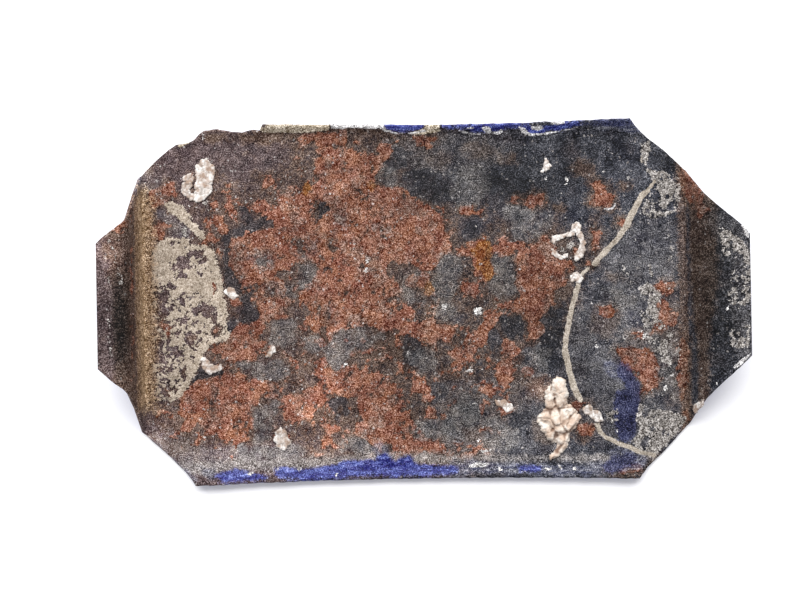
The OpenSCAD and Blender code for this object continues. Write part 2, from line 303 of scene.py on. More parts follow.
brown_spots = [
    (-59.9, 51.7, 3.7, 1.8), (-52.6, 6.1, 2.8, 5.5), (-22.9, -9.7, 15.3, 3.1), (-4.6, -10, 15.3, 3.1),
    (37, -26.9, 4.3, 4.9), (-99.2, 16.6, 3.1, 12.2), (8.6, 43.3, 3.7, 2.1), (20.9, 46.1, 5.5, 2.1),
    (28.4, 43, 3.1, 1.8), (52.2, 40.1, 3.7, 2.4), (44.7, 28, 1.8, 1.5), (-43.8, 51.4, 9.8, 2.1),
    (-29.1, -11.4, 6.7, 2.4), (-16.8, -10.1, 7.3, 2.1), (3, -10.4, 9.2, 2.8), (-31.6, -17.8, 4.3, 3.7),
    (-62.5, 39.6, 3.7, 2.1), (-65.9, 35.4, 2.4, 1.2), (-99.9, 22.3, 3.1, 3.1), (-101.5, 16, 1.8, 3.1),
    (-94, 2.1, 0.9, 21.4), (57.8, -7.1, 4.3, 4.9), (65, 34.4, 1.8, 1.5), (61.1, 6.6, 2.4, 1.5),
    (4.8, 0.5, 4.3, 3.7), (26.2, 0.2, 3.1, 6.1), (-21.8, 52.7, 12.2, 1.5), (-9.9, -15.1, 5.5, 4.3),
    (-3.5, -14.6, 3.1, 3.7), (5, 49.5, 4.9, 1.8), (-80.3, 35.7, 1.8, 9.2), (-80.2, 2, 1.5, 18.3),
    (16.2, -42.5, 9.2, 3.7), (-47.8, -29.1, 4.9, 4.3), (39.2, -39.8, 4.3, 4.3), (44, -30.7, 3.1, 1.8),
    (64.7, -52.3, 4.3, 2.1), (74.2, -50.2, 4.9, 3.1), (55.9, 18.6, 2.4, 3.7), (68.8, -11.3, 4.3, 2.4),
    (78.5, -16, 3.1, 18.3), (88.1, 17.2, 1.2, 18.3), (84.8, -31.2, 1.2, 7.3), (-57.9, 1.6, 1.5, 4.3),
    (-62.9, 17, 1.8, 3.1), (-75.5, -40.9, 6.7, 6.1), (-26.4, -34.1, 6.1, 4.9), (44.6, 2.9, 4.3, 3.7),
]
ember_spots = [
    (21.5, 15.5, 2.8, 3.1), (22.7, 9.4, 1.8, 1.8), (4.2, 4.2, 1.8, 2.4), (-48.6, 30.2, 2.8, 1.5),
    (-12.3, 36.9, 1.5, 2.8), (-13.3, -19.3, 2.1, 2.1), (-31.5, 27.2, 2.1, 3.7),
    (-28.5, 21.9, 3.7, 2.4), (-44.1, 37.8, 2.8, 1.5), (17.5, 27.2, 3.7, 1.5), (33.3, 7.7, 2.4, 1.8),
    (68.6, -22.6, 7.3, 4.9), (79.3, -6.9, 2.1, 1.8), (-34.4, 35.8, 2.8, 2.4), (56.1, 33.3, 2.4, 2.4),
    (55.9, 18.6, 1.5, 2.8), (29, -15.2, 2.4, 2.1), (0.6, -25.4, 3.1, 1.8), (-51.4, -26, 4.3, 2.4),
    (-3.5, -35.4, 3.7, 2.4), (91.8, 27.3, 2.4, 3.7), (5.1, -47.5, 2.1, 1.2), (36.6, 18.3, 6.1, 2.4),
    (40.1, 9.7, 6.1, 3.1),
]
maroon_spots = [
    (49.1, -32.7, 3.7, 1.8), (-76.6, 34.1, 4.9, 3.7), (-77.4, 23.7, 3.7, 2.8), (-76.1, -6.6, 2.4, 2.4),
    (36.8, 30.6, 4.3, 2.4), (27.3, -22.5, 3.1, 4.9), (34.7, -21.7, 3.1, 2.8), (22.3, -27.3, 2.8, 1.8),
    (15.2, -16.5, 5.5, 6.7), (56.6, -7.1, 4.9, 5.5), (-55.1, -13.1, 8.6, 3.7), (-8.2, 44.2, 3.1, 3.1),
    (75, -6.2, 4.3, 6.7), (-67.4, -36.1, 4.9, 4.3), (81.5, -20.7, 2.4, 10.4), (-20.3, 51.6, 2.4, 1.8),
    (-20.7, 30, 12.2, 6.7), (16.8, -10.4, 6.7, 3.7), (7.3, -31.6, 6.7, 4.3),
]
ochre_patches = [
    [(17.3, 15.6), (19.7, 17.7), (21.6, 19.2), (24, 18.6), (24.3, 14.9), (23.3, 11.8), (24.5, 8.2),
     (22.9, 5.7), (20.5, 8.2), (19, 10.1), (20, 13.1), (17.8, 13.8)],
    [(3, 5.5), (4.9, 6.4), (5.7, 4.2), (4.8, 1.8), (3.3, 3)],
    [(-34.4, 36.1), (-32.5, 37.9), (-31, 35.4), (-32.6, 33), (-34.1, 33.9)],
    [(-14.2, 35.7), (-12.3, 37.5), (-11.1, 35.7), (-12.4, 33.9)],
]
# Where the rust is thicker or thinner than its outline says
rust_swells = [
    (-39.1, 27.3, 4.9, 4.9, 1.3), (-37.1, 20.8, 3.1, 3.1, 1), (-54.7, 10.1, 2.4, 3.1, 1),
    (-49.6, 4.6, 1.8, 4.9, 1), (-20.8, 27.9, 3.1, 3.1, 1), (-2.4, 27.6, 6.1, 3.7, 0.8),
    (3.6, 23.5, 3.7, 2.4, 0.8), (-0.7, 5.2, 4.3, 3.1, 0.8), (21.4, 9.4, 3.7, 3.1, 1.4),
    (15.7, 15.6, 2.4, 2.4, 0.9), (-46.3, 21, 4.9, 1.8, 0.8), (-16.8, -8.3, 15.3, 2.4, 0.6),
    (-50.6, 19.2, 1.8, 2.1, -1.2), (-46.4, 12.4, 3.1, 2.4, -1.2), (-29, 29.3, 2.8, 4.3, -1.2),
    (-30.6, 44, 2.4, 4.9, -0.7), (-46.7, -5.3, 1.8, 2.1, -1.2), (-54.7, -7.6, 2.4, 1.8, -1.2),
    (-35.1, -4.3, 3.1, 2.1, -0.8), (-24.3, -0.5, 3.7, 3.7, -0.8), (-12, 3.6, 5.5, 1.5, -0.8),
    (-44.1, 3.5, 3.7, 2.1, -0.9), (7.7, -5, 10.4, 3.1, -0.8), (34.1, 13.8, 3.1, 4.9, -0.8),
    (48.3, 5.9, 3.1, 5.5, -1.4), (-22.9, -41.2, 4.9, 3.1, -1.4), (-15.9, -44.4, 3.1, 2.4, -1.4),
    (2.5, -39.2, 3.7, 2.8, -1.8), (37.3, -27.6, 2.8, 2.8, -2.5), (-101.3, 20.6, 3.1, 3.1, -1.5),
    (39, 31.8, 3.1, 2.4, -0.6), (34.7, 16.8, 2.4, 3.1, -0.8), (-26, -11.8, 9.2, 2.4, 0.9),
    (-4.6, -12.1, 9.2, 2.4, 0.6), (-49.8, 29.6, 2.4, 1.8, 0.8), (-0.9, 26.3, 3.7, 3.1, 0.5),
    (-67.4, -36.1, 4.3, 4.3, -0.5), (-35.7, -41.6, 12.2, 3.1, -0.5), (51.5, -37.6, 3.1, 3.1, -1),
    (-25.9, -6.3, 2.4, 2.4, -0.5), (-43.4, -44.5, 10.7, 2.4, -1.4), (16.6, -21.1, 4.3, 3.7, -0.8),
    (4.3, -27.6, 2.4, 2.1, -1), (16.3, -37.9, 3.7, 3.7, -0.9), (-67.7, -34.9, 3.1, 3.7, -0.8),
    (-55.5, -36.6, 4.3, 2.4, -0.5), (56.7, -0.4, 3.1, 3.1, -0.5), (68.6, -22.6, 1.5, 1.5, -0.6),
]
broad, fine, grain = mottle(9, 4, 1.3), mottle(2.6, 4, 7.7), mottle(1.1, 2, 4.2)
weak = np.clip(0.4 * spread(weak_patches), -3, 0) - 0.55
rust = np.maximum(spread(rust_patches, rust_spots, low=-3.5, high=1.2), weak)
rust = rust + ramp(u, [(18, 1), (35, 0.35)]) * (0.6 * broad + 1.5 * fine + 0.8 * grain)
rust = swelled(rust, rust_swells)
embers, maroons = [np.clip(spread(spots=spots) + 0.8, 0, 1.6) / 1.6
                   for spots in (ember_spots, maroon_spots)]
heat = embers - maroons + 0.18 * broad
ochre = spread(ochre_patches, at=sharp) + 0.5 * fine + 0.3 * grain

# Bare ground coat: grey where lime has bloomed on it, near black where it has stayed clean
grey_patches = [
    [(-54.1, -43.1), (-35.8, -42.8), (-32.8, -46.5), (-54.2, -47.4)],
    [(-25, -41.8), (-15.5, -40.7), (-13.8, -45), (-23.6, -46.7)],
    [(-0.5, -36.1), (7.2, -37.7), (5.8, -42.3), (-0.6, -41.6)],
    [(-49.4, 16.2), (-46.3, 16.7), (-42.4, 14.2), (-43.4, 11.2), (-47, 11.2), (-49.1, 13.7)],
    [(-54.9, 17.5), (-51.2, 17.4), (-50.7, 14.7), (-53.7, 13.8)],
    [(-46.5, 6.6), (-42.5, 7.5), (-38, 6.2), (-36.8, 1.9), (-41.1, 1.3), (-45.7, 2.6)],
    [(-44.3, -5.3), (-37.5, -4.8), (-35.2, -9.5), (-35.3, -14.1), (-40.2, -14.6), (-44.4, -11.4)],
    [(-54.3, -18.6), (-46.9, -16.3), (-39.9, -17.6), (-38.4, -20.7), (-42.2, -23.7), (-49.2, -21.8)],
    [(-50.3, -32.8), (-45.3, -27.9), (-41, -29.9), (-43, -35.3), (-44.9, -41.4), (-49.8, -43.2)],
    [(-34.7, 19.6), (-29.2, 20.1), (-29.9, 14.6), (-34.2, 14.1)],
    [(-35.4, 11.6), (-31.1, 12.8), (-29.3, 9.7), (-31.2, 5.5), (-34.9, 4.3)],
    [(-29.5, -0.7), (-25.8, -0.5), (-25.3, -5.7), (-28.4, -7.4)],
    [(-34.3, -9.8), (-29.7, -9.3), (-27.9, -14.2), (-31.6, -15.9), (-34.3, -14.1)],
    [(-27.6, -14.2), (-23.5, -8.8), (-19.2, -7), (-10.7, -7.8), (-7, -10.3), (-12.3, -13.2),
     (-19.4, -14.3), (-20.7, -19.8), (-24.7, -22.2), (-27.7, -19.1)],
    [(6.8, 11.5), (10.5, 14.5), (14.8, 13.2), (15.9, 8.9), (13.4, 5.9), (11.5, 1), (6.6, -0.1),
     (4.2, 3.6), (6.1, 7.9)],
    [(-4.9, 10.5), (1.3, 9.8), (6.1, 6.6), (1.2, 5.5), (0.5, 1.8), (4.8, 0.5), (1.7, -1.8),
     (-3.2, 1.3), (-4.3, 5.6)],
    [(22.8, 14.9), (26.4, 14.2), (29.4, 13), (30, 7.7), (31.7, 3.1), (27.7, 0.8), (23.2, 2.7),
     (22, 7.9)],
    [(26.7, 28.3), (34.3, 27.6), (41.3, 26.8), (42.4, 21.9), (37.2, 18.3), (31.1, 19), (27.2, 22.2)],
    [(11.5, 38.7), (17.7, 41.6), (23.2, 40.6), (24.3, 35.4), (20.6, 30.9), (14.4, 28.5), (12, 32.5)],
    [(-1.6, -15.2), (4.5, -14.1), (7.5, -17.9), (6.2, -22.7), (0.7, -21.4)],
    [(-12.6, 24.7), (-7.1, 24.6), (-6.5, 21.5), (-10.2, 20.4)],
    [(-15.8, 14.4), (-12.7, 13.7), (-9.8, 10), (-11.6, 6.9), (-14.6, 10.7)],
    [(-25.4, 27.1), (-19.2, 27.9), (-19.9, 23.6), (-23.9, 23.1)],
    [(14.1, -27.8), (19.5, -29.7), (18.8, -36.4), (16.2, -42.5), (10.1, -42.4), (7.2, -37.7),
     (10.9, -32.6)],
    [(19.4, -34.9), (25.5, -36.5), (31.5, -42.7), (28.4, -46.4), (20.8, -44.1)],
    [(35.1, -13.7), (40.6, -15.4), (40.5, -22.1), (34.9, -26), (31.8, -25.9), (32, -18.3)],
    [(-9.2, 43.6), (-4.3, 40.5), (-3.8, 36.2), (-8.1, 35), (-11.1, 37.5)],
    [(68.9, -6.7), (74.9, -9.9), (77.3, -16), (79.7, -19.1), (76, -20.9), (71.8, -15.9)],
    [(73.5, -22.7), (77.8, -20.9), (79.6, -25.2), (78.2, -30.1), (74.6, -28.8)],
    [(56.8, 2.7), (60.5, 4.2), (69, -0.6), (67.1, -4.2), (59.8, -0.4)],
    [(7.8, -0.1), (12.4, -0.2), (13.8, -5.1), (10.8, -6.3), (7.7, -3.8)],
]
dark_patches = [
    [(-28.9, 31.7), (-26.5, 31.7), (-25, 28.6), (-27.5, 25), (-30.9, 23.2), (-31.8, 25), (-29, 27.4)],
    [(-54.1, 29.7), (-51, 30.3), (-48, 27.2), (-43.1, 28.3), (-42.5, 24), (-46.2, 22.2), (-53, 21.1),
     (-56, 23), (-52.9, 25.4)],
    [(-58.5, 21.2), (-54.8, 22.4), (-57, 16.9), (-56.2, 11.4), (-53.2, 7.1), (-49.6, 5.8),
     (-48.4, 3.3), (-53.3, 2.2), (-56.9, 4.7), (-58.7, 10.8)],
    [(-52.1, 2.1), (-50.3, 0.6), (-46.7, -4.1), (-50.4, -5.2), (-54.1, -4.5)],
    [(-57.7, -3.9), (-54.6, -3.3), (-55.3, -7.6), (-57.8, -8.2)],
    [(-67.2, -19.6), (-65, -18.4), (-57.4, -20.4), (-59.3, -23.1), (-64.5, -22.1), (-67.2, -23.3),
     (-69.7, -25.1)],
    [(-2.2, 40.4), (5.5, 40.9), (11.5, 35.9), (12, 31), (7.1, 29.3), (1.6, 32.4), (-2.6, 34.9)],
    [(-5.1, 47.2), (-0.6, 46.5), (-1.9, 41.6), (-6.2, 39.9), (-8.6, 38.7), (-6.7, 43.6)],
    [(14.4, 24.2), (19, 25.7), (21.7, 22.3), (19.1, 18), (14.9, 18.7)],
    [(22.3, 39.4), (29.9, 40.5), (36.6, 39.1), (35.3, 33), (28.2, 30.1), (23.1, 33.3)],
    [(25.5, -4.7), (32.8, -3.3), (35.2, -8.6), (32.1, -12.2), (27.2, -11.2)],
    [(40.8, -3.8), (45.4, -1.1), (45, -9.3), (43.3, -15.4), (44.2, -20.3), (41.6, -24.6), (38, -20.2),
     (36.3, -13.8), (39.8, -9.2)],
    [(21.7, -9.5), (25.4, -8.4), (26.5, -13.9), (23.4, -15.7)],
    [(-4, -10.9), (0.9, -10.4), (2.7, -15.3), (-0.5, -20.2), (-3.5, -17.7)],
    [(4.3, -25.1), (9.2, -24.6), (10.4, -29.5), (5.4, -30.7)],
    [(13.4, -30.8), (18.9, -30.3), (19.4, -37.6), (15.1, -39.4)],
    [(7.2, -36.2), (12.7, -35.7), (13.2, -40.6), (8.3, -41.1)],
    [(-27, -30.1), (-22.1, -29), (-20.9, -34.5), (-25.2, -36.2)],
    [(27.4, -34.7), (34.7, -34.2), (35.2, -41), (29.1, -41.5)],
    [(53.3, 46.2), (57, 46.7), (56.9, 42.5), (53.8, 41.9)],
    [(59.4, 44.2), (62.4, 43.6), (61.7, 38.7), (59.3, 39.4)],
    [(73.4, 45.2), (78.3, 43.3), (82.2, 39.9), (80, 36.5), (75.8, 38.5), (74, 41.5)],
    [(76.9, -20.9), (79.3, -19.7), (79.6, -22.2), (77.4, -23.4)],
    [(-54.5, 4.6), (-50.2, 5.2), (-49.7, 2.1), (-53.3, 0.9)],
    [(40.8, -3.8), (37.1, -1.9), (37.7, -6.8), (40.1, -8)],
    [(53.7, -0.3), (56.8, 5.8), (59.9, 2.6), (58.6, -1)],
    [(39, 37.3), (45.1, 33.5), (43.8, 30.4), (41.4, 31.7)],
    [(31.5, 27), (35.2, 26.3), (34.5, 23.9), (30.9, 24.6)],
]
grey = spread(grey_patches, low=-3, high=0.9) + 1.7 * fine + 1.3 * broad + 0.7 * grain
dark = spread(dark_patches, low=-3, high=0.9) + 1.7 * fine + 0.7 * grain
rust = rust - 1.3 * np.clip(dark, 0, 1.2) - 0.9 * np.clip(grey, 0, 1.2) + 0.4 * grain
# Brown dirt lies in spots, round all rust, and in a strip along the crest of each end
brown = np.maximum(spread(spots=brown_spots, low=-3, high=1.5) + 0.8 * fine, 1.1 + 0.8 * rust)
left_crest = 4.5 - np.abs(u + 96) + 0.5 * fine
right_crest = 5 - np.abs(u - 91) + 0.5 * fine - ramp(y, [(-15, 3), (5, 0)])
brown = np.maximum.reduce([brown, left_crest, right_crest])

# Mortar film: lime and cement that crept over the back from the dabs at both ends
film_patches = [
    [(-80.6, 17.3), (-78.7, 19.4), (-76.9, 20.6), (-72.9, 20.9), (-68.9, 20.5), (-68.3, 18.3),
     (-64, 18.6), (-61.3, 17), (-60.2, 13.3), (-59, 8.4), (-58.2, 4.1), (-57.4, -3), (-57.5, -6.9),
     (-56.3, -8.8), (-57.8, -10.3), (-61.8, -11.4), (-64.6, -14.2), (-65.9, -17.2), (-67.8, -21.1),
     (-69.7, -24.5), (-72.2, -27.5), (-74.7, -29), (-80.8, -29.5), (-81.6, -25.5), (-81.2, 2)],
    [(-76.1, 31.3), (-73.6, 32.2), (-70.9, 30.6), (-68.5, 28.1), (-67.6, 26), (-65.2, 23.8),
     (-63.4, 20.7), (-64.6, 20.1), (-67.3, 22.9), (-69.4, 24.5), (-71.9, 27), (-74.9, 29.2)],
]
film_gaps = [
    (-73.5, 19, 1.2, 0.9), (-66.2, 16.5, 2.8, 2.4), (-64.1, 13.4, 1.2, 1.2), (-71.2, 13.2, 2.8, 1.5),
    (-70.6, 9.2, 1.2, 1.2), (-74.1, 6.2, 0.9, 0.9), (-77.2, 2.6, 1.8, 2.8), (-76.6, -2, 1.2, 1.5),
    (-70.8, 1.2, 1.2, 1.2), (-66.8, -1.3, 1.5, 1.2), (-62.6, -2.3, 2.8, 2.4), (-75.5, -6.3, 2.4, 1.2),
    (-70.9, -4.3, 1.5, 1.2), (-68.8, -9.5, 1.8, 2.1), (-64.3, -10.8, 1.2, 0.6),
    (-74.4, -13.1, 2.1, 1.2), (-79, -15.1, 1.5, 1.5), (-71.5, -20.8, 1.2, 1.2), (-75.8, -25, 1.8, 1.2),
    (-78.2, -20, 1.2, 0.9), (-72.2, -26.3, 0.9, 0.9), (-61.2, 4.4, 0.6, 0.9), (-61.8, -7.8, 2.4, 1.2),
    (-65.1, 9.7, 0.6, 0.6), (-61.8, 9.4, 0.6, 0.6),
]
film_speckle = [
    (-73.4, -7.9, 8.3, 10.4), (-63.2, -2.6, 4.3, 4), (-74.6, -23.2, 6.1, 4.9), (-77.8, 2, 3.7, 4.3),
    (-68.6, 1.8, 3.7, 3.1), (-69.6, 13.5, 4.3, 2.4), (-61.4, -6.9, 3.7, 2.8),
]
lime_patches = [
    [(71.5, 39.8), (74.2, 38.8), (76.4, 38.7), (78.8, 37.5), (81.5, 36.5), (82.1, 31), (80.1, 26.4),
     (76.1, 24.7), (72.5, 24.4), (69.7, 26.3), (71.3, 29.7), (73.9, 33.6)],
    [(68.4, 2.8), (71.5, 4.9), (73.6, 2.4), (75.7, 1.8), (75, -3.1), (73.8, -6.8), (70.7, -4.9),
     (71.4, -0.6)],
    [(68.4, -31.8), (71.4, -34.3), (76.9, -34.4), (82.5, -36.9), (79.9, -41.1), (75.8, -45.4),
     (73, -48.1), (68.2, -47.1), (65.8, -43.6), (68.3, -40.3), (67.1, -36.6)],
    [(70.1, 46.8), (72.9, 48.3), (72.8, 44.6), (71.2, 40.7), (70, 42.8)],
]
lime_gaps = [
    (74.1, 30.2, 2.4, 1.2), (76.9, 34.8, 2.8, 1.2), (78.7, 31.4, 1.8, 1.2), (74.3, 26.9, 2.4, 1.1),
    (78.3, 28, 1.5, 0.9), (80.6, 34.1, 1.2, 1.5), (71.3, 26.9, 1.2, 1.2), (79.4, 34.1, 1.2, 0.9),
    (76.2, 26.2, 0.9, 0.9), (70.8, -38.5, 0.9, 1.2), (72.8, -42.5, 1.5, 0.6), (75.6, -39.8, 0.9, 1.2),
    (69.8, -43.4, 0.9, 0.9), (77.5, -38, 0.9, 0.9), (74.5, -36.8, 1.5, 0.6), (69, -35.4, 0.9, 0.6),
    (78, -41.7, 0.9, 0.6), (73.5, -1.3, 0.9, 1.2), (70.8, 0.6, 0.6, 0.6),
]
fleck_patches = [
    [(-64.1, 32.3), (-61.1, 31.7), (-58.7, 28.9), (-60.8, 27.4), (-63.5, 29.9)],
    [(-73.7, 24.5), (-68.8, 23.8), (-68.3, 21.1), (-72.6, 21.5)],
    [(43.6, 17.9), (46.7, 18.8), (48.5, 18.1), (49.4, 16.3), (47.8, 14.5), (45.4, 14.5), (43.6, 15.5)],
    [(96.4, 20.2), (99, 19.5), (102.8, 16.4), (104.9, 12.9), (104.9, -1.1), (101.3, -4.5), (98.6, -1),
     (100.5, 8.9), (97.7, 11.9)],
    [(99, -10.3), (101.9, -8), (104.6, -8.6), (105.1, -13.6), (102.5, -16.2), (99.1, -14.4)],
    [(68.9, -3.6), (75, -6.2), (81, -14.6), (80.9, -19.7), (75.9, -21.5), (71.2, -14.4)],
    [(58, -34.6), (61.7, -34.1), (61.6, -38.7), (58.5, -37.7)],
]
scratch_lines = [
    (0.6, [(-102.2, 21.8), (-100.8, 17.2), (-99.8, 13.1)]),
    (0.4, [(-100.1, 16.6), (-99.3, 11.4), (-98.7, 7.3)]),
    (0.4, [(-102.9, 15.2), (-102.1, 10.8), (-101.6, 6.5)]),
    (0.3, [(-102.4, -3.6), (-101.9, -10.8), (-101.5, -15.7)]),
    (0.5, [(63.1, 11.1), (65.4, 7.1), (67.2, 1.9)]),
    (0.5, [(70.2, -0.6), (72.7, 5.5), (72.2, 11)]),
    (0.5, [(56.6, -9.5), (59.6, -14.2), (60.1, -17.6)]),
    (0.5, [(77.9, 20.7), (79, 14.5), (77.7, 9.1)]),
]
ridge_lines = [
    (1.2, [(71, 45.9), (70, 42.2), (71.2, 38.5), (72.7, 35.8)]),
    (2.1, [(74.2, 36), (72.3, 33.6), (69.8, 30.9), (68.3, 28.2), (66.7, 25.2), (65.1, 22.1)]),
    (1.8, [(65.1, 22.1), (62.3, 18.2), (58.8, 14.6), (55.1, 10.7)]),
    (1.2, [(53.2, 9.5), (50.8, 7.1)]),
    (1.8, [(50.4, 5.9), (49.8, 3.4), (48.5, -1.1), (47.2, -6.3), (46.1, -11.8), (45.8, -15.5)]),
    (2.1, [(45.8, -15.5), (46.3, -18.5), (47.2, -22.8), (48.3, -27.1), (50.1, -30.5)]),
    (1.5, [(55.2, -38.3), (56, -40.7), (58.1, -42.6), (61.5, -44.2), (65.1, -45.5), (68.2, -47.1),
          (72.7, -48.1)]),
]
film_edge = spread(film_patches, at=sharp)
gaps = spread(spots=film_gaps, low=-2.5, high=1.0)
speckle = spread(spots=film_speckle, low=-2.5, high=0)
film = np.minimum(np.clip(film_edge, -3, 1.0), 0.05 - 1.1 * gaps - 1.6 * fine + 1.4 * grain)
film = np.minimum(film, 0.35 - 1.1 * speckle - 0.8 * fine + 1.6 * grain)
film = film - ramp(u, [(-80, 0.6), (-70, 0)])
# The film is thickest in a lip along its own edge
lip = np.where(u > -76, 0.7 - np.abs(film_edge - 0.6), -3)
film = np.maximum(film, lip)
gaps = spread(spots=lime_gaps, low=-3, high=1)
lime = np.minimum(spread(lime_patches, at=sharp, low=-3, high=0.8),
                  0.2 - gaps * 0.7 - 2.4 * fine + 0.8 * grain)
scratched = spread(lines=scratch_lines, at=sharp) - 0.25 + 0.9 * grain
flecked = np.minimum(spread(fleck_patches, at=sharp, low=-3, high=0.8),
                     -0.25 - 2.0 * fine + 1.5 * grain)
lime = np.maximum.reduce([lime, flecked, scratched])
ridge = spread(lines=ridge_lines, at=sharp) + 0.1 * grain - 0.1
ridge = ridge - np.where(y > 33, 0.25 + 0.8 * np.abs(fine), 0)
# Tan mortar dust stayed in the left fold, and rusty dirt in the right fold. The tan is painted lighter
# than the dust, as painted light on the fold's wall, and brightest along its foot, where a painted
# highlight lies on the bend from the panel into the wall.
tan_dust_and_painted_light = np.minimum(u + 90.8, -79.2 - u) * 0.8 + 0.7 * fine
tan_dust_and_painted_light = np.minimum(tan_dust_and_painted_light, (32 - np.abs(y - 1)) * 0.5)
# A painted highlight over the tan dust, along the foot of the left fold
tan_line_and_highlight = 2.6 - np.abs(u + 84.4) + 0.5 * fine
tan_line_and_highlight = np.minimum(tan_line_and_highlight, (33 - np.abs(y - 3)) * 0.4)
rusty_strip = 1.8 - np.abs(u - 82.7) + 0.5 * fine

# Blue and white enamel of the front, which ran over the long edges on to the back
blue_patches = [
    [(-9.2, 54.1), (-5, 54.3), (4.7, 54.2), (3.8, 53.1), (0.1, 52.4), (-4.1, 52.2), (-7.1, 53)],
    [(7.4, 54.1), (17.8, 53.7), (32.9, 54), (34.2, 52.9), (28.4, 52.8), (26.4, 51.7), (23.9, 52.3),
     (22.1, 51.8), (19, 51.8), (16.6, 52.9), (13.2, 53), (10.2, 53.3)],
    [(34.2, 53.5), (39.1, 52.9), (45, 53.8), (51.1, 54), (51.8, 53.2), (47.1, 52.2), (41.6, 51.7),
     (38.6, 50.9), (36.2, 50.7), (34.9, 51.8)],
    [(-62, -51.9), (-58.8, -50.6), (-54.8, -50.1), (-52.3, -51), (-48.6, -51.9), (-45.5, -52.7),
     (-47.3, -53.5), (-52.1, -53.7), (-58.1, -54.1), (-60.6, -53.3)],
    [(-43.5, -50.3), (-40.4, -49.7), (-35.8, -50.7), (-31.3, -50.2), (-24.9, -49.4), (-22.1, -48.2),
     (-18.1, -48), (-13.2, -48.1), (-11.4, -46.6), (-9.5, -46), (-7.1, -48.8), (-4.6, -47.3),
     (-2.2, -46.7), (-0.4, -49.2), (5.4, -50.5), (10, -50.3), (12.4, -50.9), (12, -52.8), (3.8, -53),
     (-5.3, -53.1), (-14.5, -52.9), (-23.6, -53.3), (-32.7, -53.7), (-40.3, -53.3), (-43.1, -52.5)],
    [(30.7, -50.9), (35.9, -50.7), (37.7, -51.6), (36.7, -52.7), (31.2, -52.6)],
]
navy_patches = [
    [(51.7, 54), (65.6, 54.3), (67.7, 53), (63.4, 52.8), (57.3, 53.1), (52.5, 52.9)],
    [(61.9, -18.8), (64.7, -20.1), (66.7, -23.8), (68.8, -26.9), (68.5, -29), (66.3, -29.6),
     (63.9, -26.8), (62.1, -23.7)],
    [(61.1, -28.6), (64.2, -27.4), (68.5, -29.9), (68.7, -33.6), (67.4, -37.3), (66.7, -41.5),
     (64.5, -44.2), (61.8, -43.3), (60.7, -37.7), (60.5, -32.2)],
    [(57, -51), (59.6, -48.1), (64.5, -47), (68.1, -48.3), (64.8, -51.7), (59.1, -53.3), (56.7, -53)],
]
# Pale haze over the blue: partly whitish bloom, partly painted highlight on the glossy enamel
blue_haze_and_highlights = [
    [(51.7, 54), (69.2, 54.5), (72.6, 52.4), (69.8, 50.7), (57.4, 52), (52.5, 52.4)],
    [(10, -49.1), (16.1, -48.6), (25.3, -49.6), (34.4, -49.8), (39.3, -50.8), (39, -53.2), (25.1, -53),
     (15.9, -52.9), (9.9, -52.8)],
    [(-88.5, 36.9), (-83.6, 39.9), (-82.5, 38.2), (-86.1, 33.6), (-88.8, 33.3)],
    [(37.5, -49.6), (43.5, -50.8), (55.8, -50.4), (56, -53.2), (43.2, -53.6), (37.8, -52.9)],
    [(-86.1, -37.9), (-81, -40.8), (-75, -45.8), (-69.4, -51.3), (-66.9, -54), (-69.2, -52.9),
     (-75.6, -47.6), (-82.2, -42)],
    [(-66.4, -49), (-61.8, -50.2), (-61.3, -53), (-64.6, -53.5)],
    [(58.4, -46.3), (64.5, -45.2), (71.1, -49.5), (67.8, -52.3), (59.1, -53.3)],
    [(56.4, -18.7), (61.9, -19.4), (63, -26.2), (58.2, -23.6)],
    [(-13.8, -43.8), (-9.5, -43.3), (-6.5, -48.2), (-12.6, -48.7)],
]
cream_patches = [
    [(-47.1, 54.2), (-33.8, 54.5), (-24.7, 54.4), (-24.8, 53), (-30.3, 52.6), (-38.5, 52.5),
     (-45.5, 52.8)],
    [(3.8, 53.1), (4.7, 54.5), (7.4, 54.7), (8.3, 53.9), (8.7, 52.3), (5.6, 51.5), (0.1, 51.3),
     (0.1, 51.8)],
    [(-72.1, 49), (-68.9, 50.1), (-67, 51.5), (-67.7, 50.1), (-70.9, 48.4)],
]
white_patches = [
    [(-24.7, 54.4), (-10.7, 54.3), (-8.7, 53.1), (-12, 53.1), (-20.2, 53.5), (-20.2, 53.2),
     (-24.2, 53.3)],
    [(-10.7, 54.1), (-8.6, 54.1), (-7.2, 52.8), (-4.1, 51.9), (0.1, 52), (3.8, 52.9), (5.6, 52.3),
     (0.1, 51.3), (-4.7, 51.4), (-8.4, 52.3)],
    [(13.2, 52.9), (15.4, 52.2), (19.1, 51.4), (22.1, 51.5), (20.9, 50.9), (17.8, 50.9), (14.8, 51.7)],
    [(21.1, 53.1), (22.6, 53.6), (24.2, 53.1), (24.5, 52), (26.4, 51.7), (26.9, 52.8), (28.2, 52.2),
     (27, 50.8), (22.7, 51.2)],
    [(32, 53.5), (34.5, 52.9), (36.1, 51.3), (39.2, 51.1), (42.8, 51.6), (47.7, 52.3), (51.2, 53),
     (50.7, 52.3), (45.9, 51.4), (40.8, 50.5), (36.2, 50), (33.4, 51.3)],
    [(16.6, 53.5), (19, 53.4), (19, 52.6), (16.6, 52.7)],
    [(36, 53.2), (39.6, 53.4), (41, 52.3), (38.6, 51.8), (36.7, 52.1)],
    [(42, 53.9), (46.8, 53.9), (46.9, 53.3), (42.7, 53.1)],
    [(14.9, -50.4), (18.6, -49.2), (22.8, -49.9), (20.3, -51), (16, -51.2)],
    [(99.7, -20.3), (101.6, -18.5), (104.9, -16.2), (105.1, -14.8), (105.1, -16.2), (102.9, -19.1),
     (100.2, -21.4)],
    [(102.3, 21.1), (104.5, 19.9), (104.9, 17), (103.6, 17.6)],
    [(58.2, 27.8), (60.9, 27.9), (61.5, 29.5), (62.1, 28.9), (61.3, 26.9), (58.4, 27)],
]
